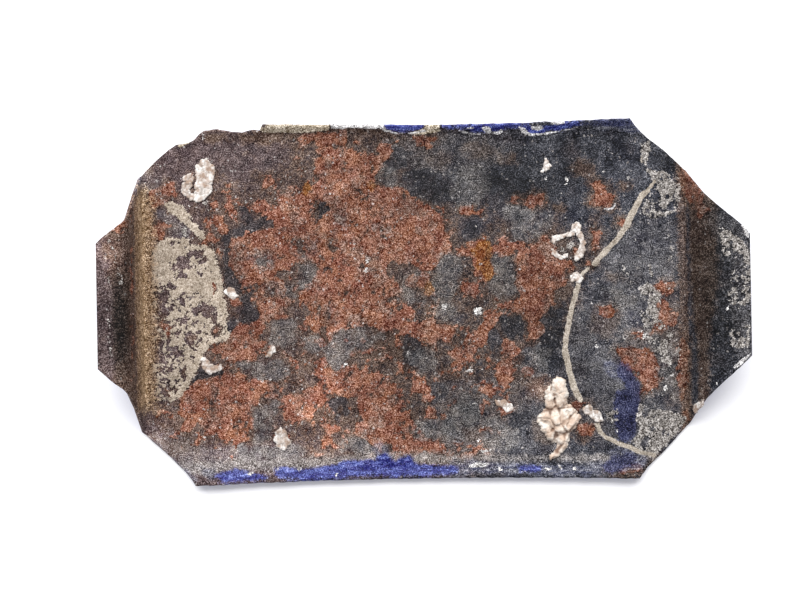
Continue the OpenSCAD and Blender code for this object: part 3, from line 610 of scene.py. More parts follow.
white_spots = [
    (25, 22.8, 0.3, 0.3), (-21.3, -18.6, 0.6, 0.9), (-14.6, 10.1, 0.6, 1.1), (-35.9, -50.4, 0.6, 0.9),
    (-24.5, -52.5, 0.6, 0.6), (-42.6, -50.6, 0.6, 0.6), (-51.1, -51.6, 0.9, 0.6),
    (17.9, -50.4, 0.9, 0.6), (25.2, -51.7, 0.6, 0.5), (32.1, -52.3, 0.6, 0.3), (40.1, -51.9, 0.9, 0.5),
    (43.5, -51.4, 0.6, 0.5), (48, -52, 0.6, 0.5), (76.1, -27.6, 0.6, 0.9), (78.4, -23.7, 0.6, 0.6),
    (72.2, -28.2, 0.4, 0.4), (63.9, -12.1, 0.4, 0.6), (47.3, 36.8, 0.6, 0.6), (47, 35.3, 0.4, 0.4),
    (58.3, 38.8, 0.4, 0.4), (63.2, 38.7, 0.4, 0.4), (66, 36.8, 0.6, 0.6), (16.6, -21.1, 0.9, 0.4),
    (18, -31.2, 0.6, 0.4), (19.4, -3.1, 1.3, 1.3), (9.3, -1.4, 0.9, 0.9), (-14, 12.8, 0.6, 0.6),
    (13.8, -26.5, 0.4, 0.4), (-15.8, -6.1, 0.3, 0.4), (-4.8, -6, 0.6, 0.4), (59.8, -37.7, 0.6, 0.6),
    (61.6, -40.2, 0.4, 0.6), (68.8, -10.1, 0.9, 0.4), (70, -11.6, 0.9, 0.9), (68.2, -12.5, 0.4, 0.4),
    (95.6, -25.3, 0.4, 0.4), (98.6, -3.6, 0.4, 0.6), (-51, 31.8, 0.4, 0.4), (40.9, 37.2, 0.6, 0.4),
    (55.9, -14.1, 0.4, 0.4), (19, -42.8, 0.4, 0.4), (21.4, -45.9, 1.7, 0.4), (39.2, -51.9, 0.6, 0.4),
    (-65.6, 52.3, 0.6, 0.3), (-63.6, 51.5, 0.4, 1.1), (-39.9, 37.7, 0.3, 0.3), (-68.1, 30.6, 0.3, 0.3),
    (75.4, 17.7, 0.6, 0.4), (77.3, 18.2, 0.4, 0.4), (67.8, 17.8, 0.4, 0.4), (60.6, 44.8, 0.3, 0.3),
    (62.7, 44.5, 0.3, 0.3), (55.3, -14.4, 0.4, 0.4), (61.9, -50.3, 0.3, 0.3),
]
blue = spread(blue_patches, at=sharp, low=-3, high=1.2) + 0.35 * fine + 0.1 * grain
navy = spread(navy_patches, at=sharp, low=-3, high=1.2) + 0.5 * fine + 0.3 * grain
haze_and_highlights = spread(blue_haze_and_highlights, low=-3, high=1.0) + 0.5 * fine
cream = spread(cream_patches, at=sharp)
enamel = spread(white_patches, at=sharp) - 0.1
white = spread(spots=white_spots, at=sharp) - 0.1 + 0.3 * grain

# Tone of the ground coat along the plate: purplish at the left, slate blue at the right. Lime dust
# lies on it in places. Round each spot it is lighter or darker by the spot's last number, in stops.
# The spots are partly the coat's own tone and partly painted light and shade: a painted shadow in the
# notch of the broken corner, painted shade along both folded ends and along parts of the upper edge,
# and painted light along the lower edge.
dust_patches = [
    [(-83.1, -36.1), (-75.4, -36.3), (-66.3, -42.9), (-35.8, -45.2), (-35.8, -51.2), (-66.3, -51.3),
     (-77.1, -44.5)],
    [(-78.2, 28.9), (-75.8, 30.1), (-73.4, 27.6), (-68.2, 24.5), (-68.3, 20.8), (-73.8, 21.5),
     (-77.4, 26.4)],
    [(-83.6, 40.9), (-79.5, 42.4), (-76.8, 38.7), (-77.8, 34.7), (-81.5, 34.8)],
    [(57.1, 21), (83.4, 23.6), (81.8, -37.5), (68.2, -46.4), (52.9, -43.1), (47, -30.8), (44.2, -15.4),
     (56.9, 11.3)],
    [(-9.7, 49.7), (17.8, 51.6), (33.1, 47.5), (26.9, 41.4), (11.5, 38.7), (-3.7, 42)],
    [(94.7, 25.6), (103.7, 19.9), (105.1, 13.5), (105.1, -14.2), (101.6, -18.5), (100.3, -12.7),
     (98.8, 2), (99.4, 13.6), (94.7, 18.2)],
    [(7.4, -24), (31.9, -24.4), (43.9, -36.8), (43.7, -47.5), (10.1, -45.4), (4.1, -36.1)],
]
# Spots of the coat's tone and of painted light and shade: x, y, half sizes and stops
tone_and_painted_light_spots = [
    (-58.1, 42.9, 6.7, 4.9, -0.35), (-68.4, 49.5, 3.7, 1.5, -0.8), (40.6, 37.2, 6.1, 6.7, -0.4),
    (-26.3, -24.9, 9.2, 12.2, 0.35), (-21.4, -8.2, 3.7, 3.7, 0.35), (-39.8, -14, 7.6, 6.1, 0.15),
    (-50.8, -29.1, 12.2, 12.2, 0.15), (37, -26.9, 4.3, 4.3, 0.7), (94.7, 25.6, 6.7, 4.3, -0.7),
    (66, 5.6, 4.3, 4.9, -0.3), (76.1, -12.9, 3.1, 6.1, -0.3), (100.3, -11.2, 3.7, 3.7, -0.3),
    (67.8, -52.3, 7.3, 3.7, -0.5), (25.2, -50.5, 18.3, 1.5, 0.5), (-45, -51.7, 9.2, 1.8, 0.4),
    (53.4, -18.7, 6.1, 9.2, -0.2), (7.9, 5.1, 3.7, 6.1, -0.25), (29.3, 6.2, 6.1, 6.1, -0.15),
    (-99.2, -3.7, 1.8, 14.1, -2.8), (19, 25.4, 4.9, 4.9, 0.3), (40.3, 23.8, 4.9, 3.1, 0.3),
    (62, 40.8, 7.6, 9.2, 0.25), (54.1, 22.6, 6.1, 4.3, 0.25), (20.8, -42.6, 12.2, 6.1, 0.2),
    (-99.4, 13.1, 2.4, 4.6, 0.7), (-100.8, 21.2, 3.1, 2.4, -0.3), (37.3, -26.9, 3.1, 3.7, 0.5),
    (49.1, -32.7, 2.8, 1.5, -0.6), (-104.2, -0.7, 2.4, 18.3, -0.3), (-97.2, 1.5, 1.5, 21.4, -0.9),
    (-102.5, 13.1, 3.1, 3.7, 0.4), (-80.2, 39.3, 2.4, 3.7, 0.8), (-90.6, 31.9, 1.5, 4.3, 0.5),
    (66.4, -6, 2.4, 3.7, 0.7), (71.7, -50.1, 2.4, 3.7, -0.7), (-43.5, -51.1, 9.2, 1.5, 0.4),
    (95.4, -0.9, 4.9, 27.5, -0.35), (-50.9, -32.1, 9.2, 9.2, 0.2), (-59.6, -44.8, 3.1, 8, 0.35),
    (-35, -1.8, 3.1, 2.4, 0.4), (-19.9, -8.2, 3.7, 3.7, 0.3), (-0.5, -0.9, 1.8, 5.5, 0.45),
    (4.5, -12.3, 6.1, 2.4, 0.3), (-4.3, 9.9, 3.7, 2.4, 0.3), (-78.5, -37.8, 3.1, 3.7, 0.5),
    (67.7, 16.3, 4.3, 3.1, 0.2), (56.8, 4.2, 3.1, 4.3, 0.4), (74.8, -14.4, 3.7, 6.7, -0.3),
    (-58.1, -9.1, 4.3, 4.3, -0.4), (69.8, -38.8, 6.1, 3.7, -0.1), (-74, 43.2, 9.2, 6.1, -0.15),
    (8.6, 46.4, 18.3, 6.1, -0.25), (31.3, 33.7, 9.2, 4.3, -0.15), (64.6, 10.2, 9.2, 12.2, -0.15),
    (-54.1, -44.3, 21.4, 4.3, 0.1), (60.5, -47.8, 9.2, 4.9, -0.25), (87.6, -0.8, 2.4, 33.6, -0.4),
    (68.3, -40.3, 4.9, 6.1, -0.2), (61.6, -37.2, 3.7, 9.2, -0.3), (57.6, 48.6, 18.3, 4.3, -0.3),
    (-25.4, 27.1, 12.2, 9.2, -0.1), (-47.7, -26.1, 15.3, 6.1, 0.15), (37, 6.1, 7.6, 7.6, -0.35),
    (16.8, -13.4, 7.6, 6.1, -0.2), (-101.5, 16.6, 3.7, 4.9, 0.6),
    (-28.9, -34, 10.4, 12.2, 0.65), (-78.5, -39.6, 4.9, 5.5, 0.8), (-57.9, -47.9, 7.3, 4.9, 0.3),
    (41, -26.1, 5.5, 7.3, 0.5), (32.6, -14.3, 3.1, 2.4, 0.5), (-45.3, 26.5, 12.2, 4.3, 0.35),
    (-24.1, 11.8, 6.1, 3.7, 0.3), (-77.6, 11.2, 3.7, 15.3, -0.15), (56.2, -34, 18.3, 4.9, -0.2),
    (-52.9, 27.5, 4.3, 6.1, 0.1), (-98.1, -22.5, 3.7, 4.9, 0.4),
    (99.1, -1, 2.4, 18.3, -0.2), (-64.8, 44.6, 15.3, 10.7, 0.25), (-43.4, 44.2, 18.3, 12.2, 0.1),
    (5.5, 44.9, 18.3, 7.6, -0.3), (29.9, 36.8, 16.8, 9.8, -0.8), (5.3, 34.2, 10.7, 6.1, -0.5),
    (34.2, 24.5, 10.4, 4.3, 0.5), (18.2, 36.4, 6.7, 5.5, 0.2), (57.5, 45.5, 13.8, 9.2, -0.35),
    (69.1, 8.6, 11, 18.3, 0.1), (52.2, -15.6, 5.5, 15.3, -0.1), (-75.4, -36.3, 8, 7.3, 0.2),
    (-54.2, -45.8, 27.5, 4.3, 0.6), (-26.6, -41.7, 18.3, 6.1, 0.35), (0.9, -45.9, 36.7, 3.1, 0.25),
    (41.9, -12.3, 4.3, 12.8, -0.9), (17.4, 24.2, 6.1, 4.9, 0.15), (-10.8, -15.1, 10.4, 8, -0.1),
    (-26.1, -14.2, 12.2, 6.1, 0.25), (11, 8.1, 8, 8, 0.1), (71.8, -12.9, 7.3, 9.2, 0.15),
    (78.9, 42.1, 4.9, 4.3, -0.8), (33.1, 49, 18.3, 4.3, -0.1), (14.9, -33.3, 8, 8, -0.35),
    (-23.3, -32, 4.9, 4.3, -0.4), (25.5, -39.6, 12.2, 6.7, 0.15), (52.9, -46.2, 18.3, 4.3, 0.1),
    (-55.6, 13.2, 4.3, 10.4, -0.35), (-49.9, 25.4, 8, 4.9, -0.1), (-27.8, 28.6, 3.7, 4.3, -0.5),
    (30.6, -7.6, 5.5, 4.9, -0.7), (1.5, -13.2, 6.7, 5.5, -0.3), (-62.9, -20.9, 6.7, 2.4, -0.6),
    (-101.9, 18, 4.3, 6.1, 0.45), (-102.4, -3.6, 3.7, 18.3, -0.1), (-102.5, -12.2, 4.9, 6.1, -0.2),
    (95.2, -0.9, 6.1, 24.5, -1.1), (103.2, 10.6, 3.7, 15.3, -0.3), (102.3, -9.8, 4.3, 12.2, -0.4),
    (97.3, 16.6, 4.9, 6.1, -0.5),
]
tone = np.clip((u + 25) / 60, -1, 1) + 0.4 * broad + 0.25 * mottle(5, 3, 12.4)
dust = spread(dust_patches, low=-3, high=1) + 0.8 * broad + 0.6 * fine
# The coat's tone with painted light and shade, in stops
tone_and_painted_light = swelled(0.25 * broad + 0.25 * fine + 0.1 * grain - 0.22, tone_and_painted_light_spots)
# A pale line of lime runs beside the enamel of the lower edge
rim_line = ramp(u, [(-70, 49.6), (-40, 48.9), (0, 47.8), (60, 48.8)])
rim_lime = 1.9 - np.abs(-y - rim_line) + 0.6 * fine
rim_lime = rim_lime - ramp(u, [(0, 0), (25, 0.9)])


def over(field, soft=0.25):
    """Turns a distance inside a mark to a share from 0 to 1."""
    return np.clip(field / (2 * soft) + 0.5, 0, 1)


# How far all this stands out of the metal, in mm: rust, mortar film and ridge, enamel
relief = (0.06 * broad + 0.10 * fine + 0.06 * grain
          + over(rust) * (0.13 + 0.16 * fine + 0.14 * grain)
          + over(np.maximum(film, lime)) * (0.2 + 0.05 * grain) + over(ridge, 0.6) * 0.24
          + over(np.maximum.reduce([white, enamel, cream])) * 0.15 + over(blue) * 0.06)

back = on_sheet(u, y, sheet_t / 2 + relief)
front_shares = np.arange(0, len(shares), front_skip)
front = on_sheet(u[:, front_shares], y[:, front_shares], -sheet_t / 2)
front[..., 2] = np.maximum(front[..., 2], 0)

verts = [back.reshape(-1, 3), front.reshape(-1, 3)]
n_along, n_across, n_front = len(along), len(shares), len(front_shares)
# Each face has the number of its material. The weathered back goes on over the edge's upper rings.
on_back, on_front, on_edge = 0, 1, 2
faces, finish = [], []


def back_at(i, j):
    return i * n_across + j


def front_at(i, k):
    return n_along * n_across + i * n_front + k


for i in range(n_along - 1):
    for j in range(n_across - 1):
        faces.append((back_at(i, j), back_at(i + 1, j), back_at(i + 1, j + 1), back_at(i, j + 1)))
        finish.append(on_back)
    for k in range(n_front - 1):
        faces.append((front_at(i, k), front_at(i, k + 1),
                      front_at(i + 1, k + 1), front_at(i + 1, k)))
        finish.append(on_front)

# The cut edge: two rounded rings between the back and the front, once round the outline
loop = [(i, 0) for i in range(n_along - 1)] + [(n_along - 1, j) for j in range(n_across - 1)]
loop += [(i, n_across - 1) for i in range(n_along - 1, 0, -1)]
loop += [(0, j) for j in range(n_across - 1, 0, -1)]
loop_along = np.array([along[i] for i, j in loop])
loop_across = np.array([top[i] * max(shares[j], 0) + bottom[i] * min(shares[j], 0) for i, j in loop])
upper, lower = [on_sheet(loop_along, loop_across, off) for off in (ring_off, -ring_off)]
ring_start = sum(len(v) for v in verts)
verts += [upper, lower]
count = len(loop)
for n in range(count):
    m = (n + 1) % count
    faces.append((back_at(*loop[m]), back_at(*loop[n]), ring_start + n, ring_start + m))
    faces.append((ring_start + m, ring_start + n, ring_start + count + n, ring_start + count + m))
    finish += [on_back, on_back]
# Down to the front, four short steps along the tips meet one long one
n = 0
while n < count:
    i, j = loop[n]
    step = 1 if j in (0, n_across - 1) and (loop[(n + 1) % count][1] == j) else front_skip
    m = (n + step) % count
    ring = [ring_start + count + (n + k) % count for k in range(step + 1)]
    faces.append(tuple(ring[::-1]) + (front_at(i, j // front_skip),
                                      front_at(loop[m][0], loop[m][1] // front_skip)))
    finish.append(on_edge)
    n += step


def placed(name, data):
    """A new object in the scene."""
    made = bpy.data.objects.new(name, data)
    bpy.context.scene.collection.objects.link(made)
    return made


def store(mesh, name, values):
    """Keeps one number for each point of a mesh, for its material to read."""
    mesh.attributes.new(name, "FLOAT", "POINT").data.foreach_set("value", values.astype(np.float32))


sheet = bpy.data.meshes.new("plate_sheet")
sheet.from_pydata(np.concatenate(verts) * MM, [], faces)
sheet.polygons.foreach_set("material_index", finish)
sheet.polygons.foreach_set("use_smooth", [True] * len(faces))
rim_i, rim_j = np.array(loop).T
unseen = np.full(n_along * n_front, -3.0)
fields = {"tone": tone, "tone_and_painted_light": tone_and_painted_light, "heat": heat, "brown": brown, "dust": dust, "grey": grey,
          "dark": dark, "rust": rust, "ochre": ochre, "rusty_strip": rusty_strip,
          "rim_lime": rim_lime, "haze_and_highlights": haze_and_highlights, "navy": navy, "blue": blue, "film": film,
          "lime": lime, "tan": tan_dust_and_painted_light, "tan_line_and_highlight": tan_line_and_highlight, "ridge": ridge, "cream": cream,
          "enamel": enamel, "white": white}
for name, field in fields.items():
    field = np.clip(field, -3, 3)
    at_rim = field[rim_i, rim_j]
    store(sheet, name, np.concatenate([field.ravel(), unseen, at_rim, at_rim]))
sheet.validate()
plate = placed("plate_sheet", sheet)
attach(plate, "root")
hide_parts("plate")


def linear(code):
    """An sRGB hex colour as linear RGBA."""
    parts = [int(code[k:k + 2], 16) / 255 for k in (1, 3, 5)]
    return tuple(p / 12.92 if p <= 0.04045 else ((p + 0.055) / 1.055) ** 2.4 for p in parts) + (1.0,)


def add(material, kind, inputs=None, out=0, **settings):
    """Adds a node and gives one of its outputs. Settings are its properties, and inputs are its
    values or links, by socket name or number."""
    made = material.node_tree.nodes.new("ShaderNode" + kind)
    for name, value in settings.items():
        setattr(made, name, value)
    for name, value in (inputs or {}).items():
        if isinstance(value, bpy.types.NodeSocket):
            material.node_tree.links.new(value, made.inputs[name])
        elif isinstance(value, str):
            made.inputs[name].default_value = linear(value)
        else:
            made.inputs[name].default_value = value
    return made.outputs[out] if len(made.outputs) else None


def bare(name):
    """A new material, and the place on the object that its patterns follow."""
    made = bpy.data.materials.new(name)
    made.use_nodes = True
    made.node_tree.nodes.clear()
    return made, add(made, "TexCoord", out="Object")


# Vitreous ground coat on steel, dipped, fired and long buried in mortar: a dull, speckled skin,
# purplish to slate, with rust through it and lime over it. It gives the eye a rough and many-coloured
# back. Its grain in mm: sheets of scale, blisters, crumbs, and grit, which is drawn at 0.3 mm so that
# it shows.
ground_coat, place = bare("weathered_ground_coat")
sheets, blisters, crumbs, grit = [
    add(ground_coat, "TexNoise", {"Vector": place, "Scale": 1000 / size_mm, "Detail": octaves,
                                  "Roughness": rough})
    for size_mm, octaves, rough in (
        (7.0, 4.0, 0.6), (2.6, 4.0, 0.65), (0.9, 2.0, 0.6), (0.33, 1.0, 0.5))]
marks = {name: add(ground_coat, "Attribute", out="Fac", attribute_name=name) for name in fields}

# Raggedness, in mm, that breaks the edge of every mark: crumbling marks take the grit too, and marks
# with a sound edge only follow the blisters
sound = add(ground_coat, "Math", {0: crumbs, 1: 0.8, 2: -1.6}, operation="MULTIPLY_ADD")
sound = add(ground_coat, "Math", {0: blisters, 1: 2.4, 2: sound}, operation="MULTIPLY_ADD")
ragged = add(ground_coat, "Math", {0: grit, 1: 2.2, 2: -2.5}, operation="MULTIPLY_ADD")
ragged = add(ground_coat, "Math", {0: crumbs, 1: 2.8, 2: ragged}, operation="MULTIPLY_ADD")
ragged = add(ground_coat, "Math", {0: ragged, 1: sound}, operation="ADD")

# How light each place's own tone is, from 0 to 1: blisters over sheets
clouds = add(ground_coat, "Math", {0: sheets, 1: 0.6, 2: -0.1}, operation="MULTIPLY_ADD")
clouds = add(ground_coat, "Math", {0: blisters, 1: 0.6, 2: clouds}, operation="MULTIPLY_ADD")
clouds = add(ground_coat, "MapRange", {"Value": clouds, 1: 0.36, 2: 0.64})
crumbly = add(ground_coat, "MapRange", {"Value": crumbs, 1: 0.3, 2: 0.7})

# The coat's own colour, dark and light, from the left of the plate to its right
skin = None
for low, high, dark_tone, light_tone in (
        (-2, -1, "#5B4B4D", "#857371"), (-0.9, 0.2, "#3C3437", "#6A5D5D"),
        (0.2, 1.0, "#2A2C37", "#66676E")):
    tone = add(ground_coat, "Mix", {0: clouds, 6: dark_tone, 7: light_tone}, out=2, data_type="RGBA")
    if skin is None:
        skin = tone
        continue
    passed = add(ground_coat, "MapRange", {"Value": marks["tone"], 1: low, 2: high})
    skin = add(ground_coat, "Mix", {0: passed, 6: skin, 7: tone}, out=2, data_type="RGBA")

# Blisters a few mm wide that sank and burst, and sparse crumbs of lime dust about 0.6 mm wide
pock_scale, crumb_scale = 1000 / 2.1, 1000 / 1.2
bent = add(ground_coat, "TexNoise", {"Vector": place, "Scale": 1000 / 1.5, "Detail": 2.0}, out="Color")
bent = add(ground_coat, "VectorMath", {0: bent, 1: (0.0012,) * 3, 2: place}, out="Vector",
           operation="MULTIPLY_ADD")
pocks = add(ground_coat, "TexVoronoi", {"Vector": bent, "Scale": pock_scale})
cells = add(ground_coat, "TexVoronoi", {"Vector": bent, "Scale": pock_scale}, out="Color")
cells = add(ground_coat, "SeparateColor", {0: cells})
seams = add(ground_coat, "TexVoronoi", {"Vector": bent, "Scale": pock_scale},
            feature="DISTANCE_TO_EDGE")
seams = add(ground_coat, "MapRange", {"Value": seams, 1: 0.02, 2: 0.12, 3: 1.0, 4: 0.0})
lone = add(ground_coat, "TexVoronoi", {"Vector": bent, "Scale": crumb_scale})
lone = add(ground_coat, "MapRange", {"Value": lone, 1: 0.2, 2: 0.34, 3: 1.0, 4: 0.0})
picked = add(ground_coat, "TexVoronoi", {"Vector": bent, "Scale": crumb_scale}, out="Color")
picked = add(ground_coat, "SeparateColor", {0: picked})
picked = add(ground_coat, "MapRange", {"Value": picked, 1: 0.72, 2: 0.95, 4: 0.85})
dotted = add(ground_coat, "Math", {0: lone, 1: picked}, operation="MULTIPLY")

# How much each mark hides of what lies under it, from 0 to 1
hides = {}


def laid_over(skin, coats):
    """Lays marks over a skin, from the lowest up. Each has a name, how soft its edge is in mm, which
    raggedness tears it and by how much, how much it hides at most, its dark and light tone, and the
    grain that turns it from one to the other."""
    for name, soft, torn_by, share, cover, dark_tone, light_tone, grain_of in coats:
        reach = add(ground_coat, "Math", {0: torn_by, 1: share, 2: marks[name]},
                    operation="MULTIPLY_ADD")
        hides[name] = add(ground_coat, "MapRange", {"Value": reach, 1: -soft, 2: soft, 4: cover},
                          interpolation_type="SMOOTHSTEP")
        tone = add(ground_coat, "Mix", {0: grain_of, 6: dark_tone, 7: light_tone}, out=2,
                   data_type="RGBA")
        skin = add(ground_coat, "Mix", {0: hides[name], 6: skin, 7: tone}, out=2, data_type="RGBA")
    return skin


# What lies in the coat: dirt, dust, rust, and where the coat itself is clean or bloomed
skin = laid_over(skin, [
    ("brown", 1.2, ragged, 1.0, 0.7, "#594439", "#86705F", clouds),
    ("dust", 1.0, ragged, 1.0, 0.4, "#65636A", "#95918F", clouds),
    ("dark", 0.6, sound, 1.3, 0.7, "#1F2129", "#43444C", clouds),
    ("rust", 0.35, sound, 1.3, 0.95, "#85594A", "#A87B67", clouds),
    ("grey", 0.9, sound, 1.8, 0.6, "#56565A", "#8F8A86", clouds),
    ("ochre", 0.4, sound, 1.0, 0.7, "#7E4F22", "#C98E45", clouds),
])

# Within the rust, the mark, from where to where it grows, how much it hides and its two tones: orange
# and brick flushes, islands of dusty scale, ochre where it is fresh, maroon where it is old and hard
flush = add(ground_coat, "TexNoise", {"Vector": bent, "Scale": 1000 / 3.4, "Detail": 3.0,
                                      "Roughness": 0.6})
scale = add(ground_coat, "TexNoise", {"Vector": bent, "Scale": 1000 / 4.5, "Detail": 5.0,
                                      "Roughness": 0.7})
for mark, start, end, cover, dark_tone, light_tone in (
        (flush, 0.50, 0.66, 0.5, "#8A5C45", "#AF7C5E"), (flush, 0.48, 0.36, 0.5, "#734539", "#966053"),
        (scale, 0.50, 0.62, 0.48, "#6C635E", "#968C84"),
        (marks["heat"], 0.2, 0.9, 0.85, "#7E5024", "#C58A44"),
        (marks["heat"], -0.15, -0.9, 0.65, "#5A302A", "#864B41")):
    amount = add(ground_coat, "MapRange", {"Value": mark, 1: start, 2: end, 4: cover})
    amount = add(ground_coat, "Math", {0: amount, 1: hides["rust"]}, operation="MULTIPLY")
    tone = add(ground_coat, "Mix", {0: clouds, 6: dark_tone, 7: light_tone}, out=2, data_type="RGBA")
    skin = add(ground_coat, "Mix", {0: amount, 6: skin, 7: tone}, out=2, data_type="RGBA")

# The edge of every rust sheet has lifted and throws a thin shade, and lime dust lies in lone crumbs
lifted = add(ground_coat, "Math", {0: sound, 1: 1.3, 2: marks["rust"]}, operation="MULTIPLY_ADD")
lifted = add(ground_coat, "Math", {0: lifted}, operation="ABSOLUTE")
lifted = add(ground_coat, "MapRange", {"Value": lifted, 1: 0.0, 2: 0.5, 3: 0.22, 4: 0.0})
skin = add(ground_coat, "Mix", {0: lifted, 6: skin, 7: "#2A2221"}, out=2, data_type="RGBA")
skin = add(ground_coat, "Mix", {0: dotted, 6: skin, 7: "#B5AFAC"}, out=2, data_type="RGBA")

# Lighter and darker places, in stops: the coat's own tone, with painted light and painted shade
stops = add(ground_coat, "Math", {0: 2.0, 1: marks["tone_and_painted_light"]}, operation="POWER")
skin = add(ground_coat, "VectorMath", {0: skin, 3: stops}, out="Vector", operation="SCALE")

# Enamel that ran along the edge, in streaks
drawn = add(ground_coat, "VectorMath", {0: place, 1: (0.22, 1, 1)}, out="Vector", operation="MULTIPLY")
streaks = add(ground_coat, "TexNoise", {"Vector": drawn, "Scale": 1000 / 0.9, "Detail": 3.0,
                                        "Roughness": 0.6})
streaks = add(ground_coat, "MapRange", {"Value": streaks, 1: 0.4, 2: 0.68})

# Over the coat and its rust: mortar dust in the folds, painted lighter in the left fold for light on
# its wall, enamel that ran over the edges, with painted highlights in its haze, lime and mortar film
skin = laid_over(skin, [
    ("rusty_strip", 0.9, ragged, 0.8, 0.6, "#4E3B33", "#836B5B", crumbly),
    ("rim_lime", 1.2, sound, 1.2, 0.6, "#8B8582", "#C4BDB9", clouds),
    # Haze over the blue: partly whitish bloom, partly painted highlight
    ("haze_and_highlights", 0.9, sound, 1.2, 0.6, "#50546E", "#A5A5AD", streaks),
    ("navy", 0.6, ragged, 0.7, 0.75, "#1B1E44", "#40466F", clouds),
    ("blue", 0.7, ragged, 0.5, 0.92, "#1D2074", "#6876BA", streaks),
    ("film", 0.12, ragged, 0.6, 0.96, "#A39687", "#C6B8A8", clouds),
    ("lime", 0.15, ragged, 0.5, 0.85, "#86817D", "#B3ADA7", crumbly),
    # Tan of the left fold painted lighter for light on its wall, and a painted highlight line along its
    # foot
    ("tan", 1.3, ragged, 0.9, 0.8, "#88705A", "#C0A283", crumbly),
    ("tan_line_and_highlight", 1.4, ragged, 0.8, 0.75, "#B19678", "#DCC09E", crumbly),
    ("ridge", 0.12, sound, 0.2, 1.0, "#A2988C", "#BFB5A8", clouds),
    ("cream", 0.15, sound, 0.3, 0.95, "#B0A18C", "#DCD1BF", clouds),
    ("enamel", 0.12, sound, 0.1, 0.95, "#C4C1C0", "#E6E4E4", clouds),
    ("white", 0.12, ragged, 0.3, 0.95, "#B9B5B2", "#E0DDDA", crumbly),
])

# Pits and grit over everything: partly the coat's own speckle, partly painted highlights on the grit
# and painted shade in pits, pocks and seams. They change how light a place is and not its colour, so
# they work after a turn to the eye's own scale, in steps that grow with how light the place is
eye_gamma = 2.2
grit_share = 1.25
seen = add(ground_coat, "Gamma", {"Color": skin, "Gamma": 1 / eye_gamma})
speckle_highlights_and_shade = add(ground_coat, "Math", {0: grit, 1: grit_share, 2: -grit_share / 2},
             operation="MULTIPLY_ADD")
for grain_of, amount in ((crumbs, 0.32), (cells, 0.05), (seams, -0.05), (pocks, -0.06)):
    speckle_highlights_and_shade = add(ground_coat, "Math", {0: grain_of, 1: amount, 2: speckle_highlights_and_shade}, operation="MULTIPLY_ADD")
speckle_highlights_and_shade = add(ground_coat, "Math", {0: speckle_highlights_and_shade, 1: -0.225}, operation="ADD")
# Mortar film and ridge are finer, so their speckle, painted highlights and painted shade are half as
# strong
pasty = add(ground_coat, "Math", {0: hides["film"], 1: hides["ridge"]}, operation="MAXIMUM")
pasty = add(ground_coat, "MapRange", {"Value": pasty, 3: 1.0, 4: 0.5})
speckle_highlights_and_shade = add(ground_coat, "Math", {0: speckle_highlights_and_shade, 1: pasty}, operation="MULTIPLY")
lightness = add(ground_coat, "RGBToBW", {"Color": seen})
step = add(ground_coat, "Math", {0: lightness, 1: 1.0, 2: 0.6}, operation="MULTIPLY_ADD")
step = add(ground_coat, "Math", {0: step, 1: speckle_highlights_and_shade}, operation="MULTIPLY")
seen = add(ground_coat, "VectorMath", {0: seen, 1: step}, out="Vector", operation="ADD")
seen = add(ground_coat, "VectorMath", {0: seen, 1: (0.02, 0.02, 0.02)}, out="Vector",
           operation="MAXIMUM")
skin = add(ground_coat, "Gamma", {"Color": seen, "Gamma": eye_gamma})
skin = add(ground_coat, "VectorMath", {0: skin, 3: 0.94}, out="Vector", operation="SCALE")

# Rust and lime scatter all light, clean ground coat has a low sheen, and the blue is still glass
dull = 0.72
for name, gloss in (("dark", 0.55), ("rust", 0.95), ("navy", 0.5), ("blue", 0.35), ("film", 0.95),
                    ("lime", 0.95), ("enamel", 0.4), ("white", 0.8)):
    dull = add(ground_coat, "Mix", {0: hides[name], 2: dull, 3: gloss}, data_type="FLOAT")
# Grit, crumbs, blisters and burst pocks stand out in this measure, most on rust and mortar film
crusty = add(ground_coat, "Math", {0: hides["rust"], 1: hides["film"]}, operation="MAXIMUM")
crusty = add(ground_coat, "MapRange", {"Value": crusty, 3: 0.6, 4: 1.0})
height = add(ground_coat, "Math", {0: grit, 1: 0.5, 2: crumbs}, operation="MULTIPLY_ADD")
height = add(ground_coat, "Math", {0: blisters, 1: 1.5, 2: height}, operation="MULTIPLY_ADD")
height = add(ground_coat, "Math", {0: pocks, 1: -0.8, 2: height}, operation="MULTIPLY_ADD")
height = add(ground_coat, "Math", {0: height, 1: crusty}, operation="MULTIPLY")
bumps = add(ground_coat, "Bump", {"Height": height, "Strength": 0.6, "Distance": 0.0003})
surface = add(ground_coat, "BsdfPrincipled", {"Base Color": skin, "Roughness": dull, "Normal": bumps,
                                              "IOR": 1.5, "Specular IOR Level": 0.15})
add(ground_coat, "OutputMaterial", {"Surface": surface})

# Cobalt enamel of the front: fired glass, smooth and glossy, with the slight orange peel of a sprayed
# coat. It gives the eye a deep even blue. The front lies on the floor, so it is finished plainly.
cobalt, place = bare("cobalt_enamel")
peel = add(cobalt, "TexNoise", {"Vector": place, "Scale": 1000 / 1.4, "Detail": 2.0})
pooled = add(cobalt, "TexNoise", {"Vector": place, "Scale": 1000 / 14, "Detail": 3.0})
depth = add(cobalt, "Mix", {0: pooled, 6: "#1A1A66", 7: "#26268A"}, out=2, data_type="RGBA")
gloss = add(cobalt, "MapRange", {"Value": peel, 3: 0.12, 4: 0.24})
skin_bump = add(cobalt, "Bump", {"Height": peel, "Strength": 0.15, "Distance": 0.00005})
glaze = add(cobalt, "BsdfPrincipled", {"Base Color": depth, "Roughness": gloss, "Normal": skin_bump,
                                       "IOR": 1.52})
add(cobalt, "OutputMaterial", {"Surface": glaze})

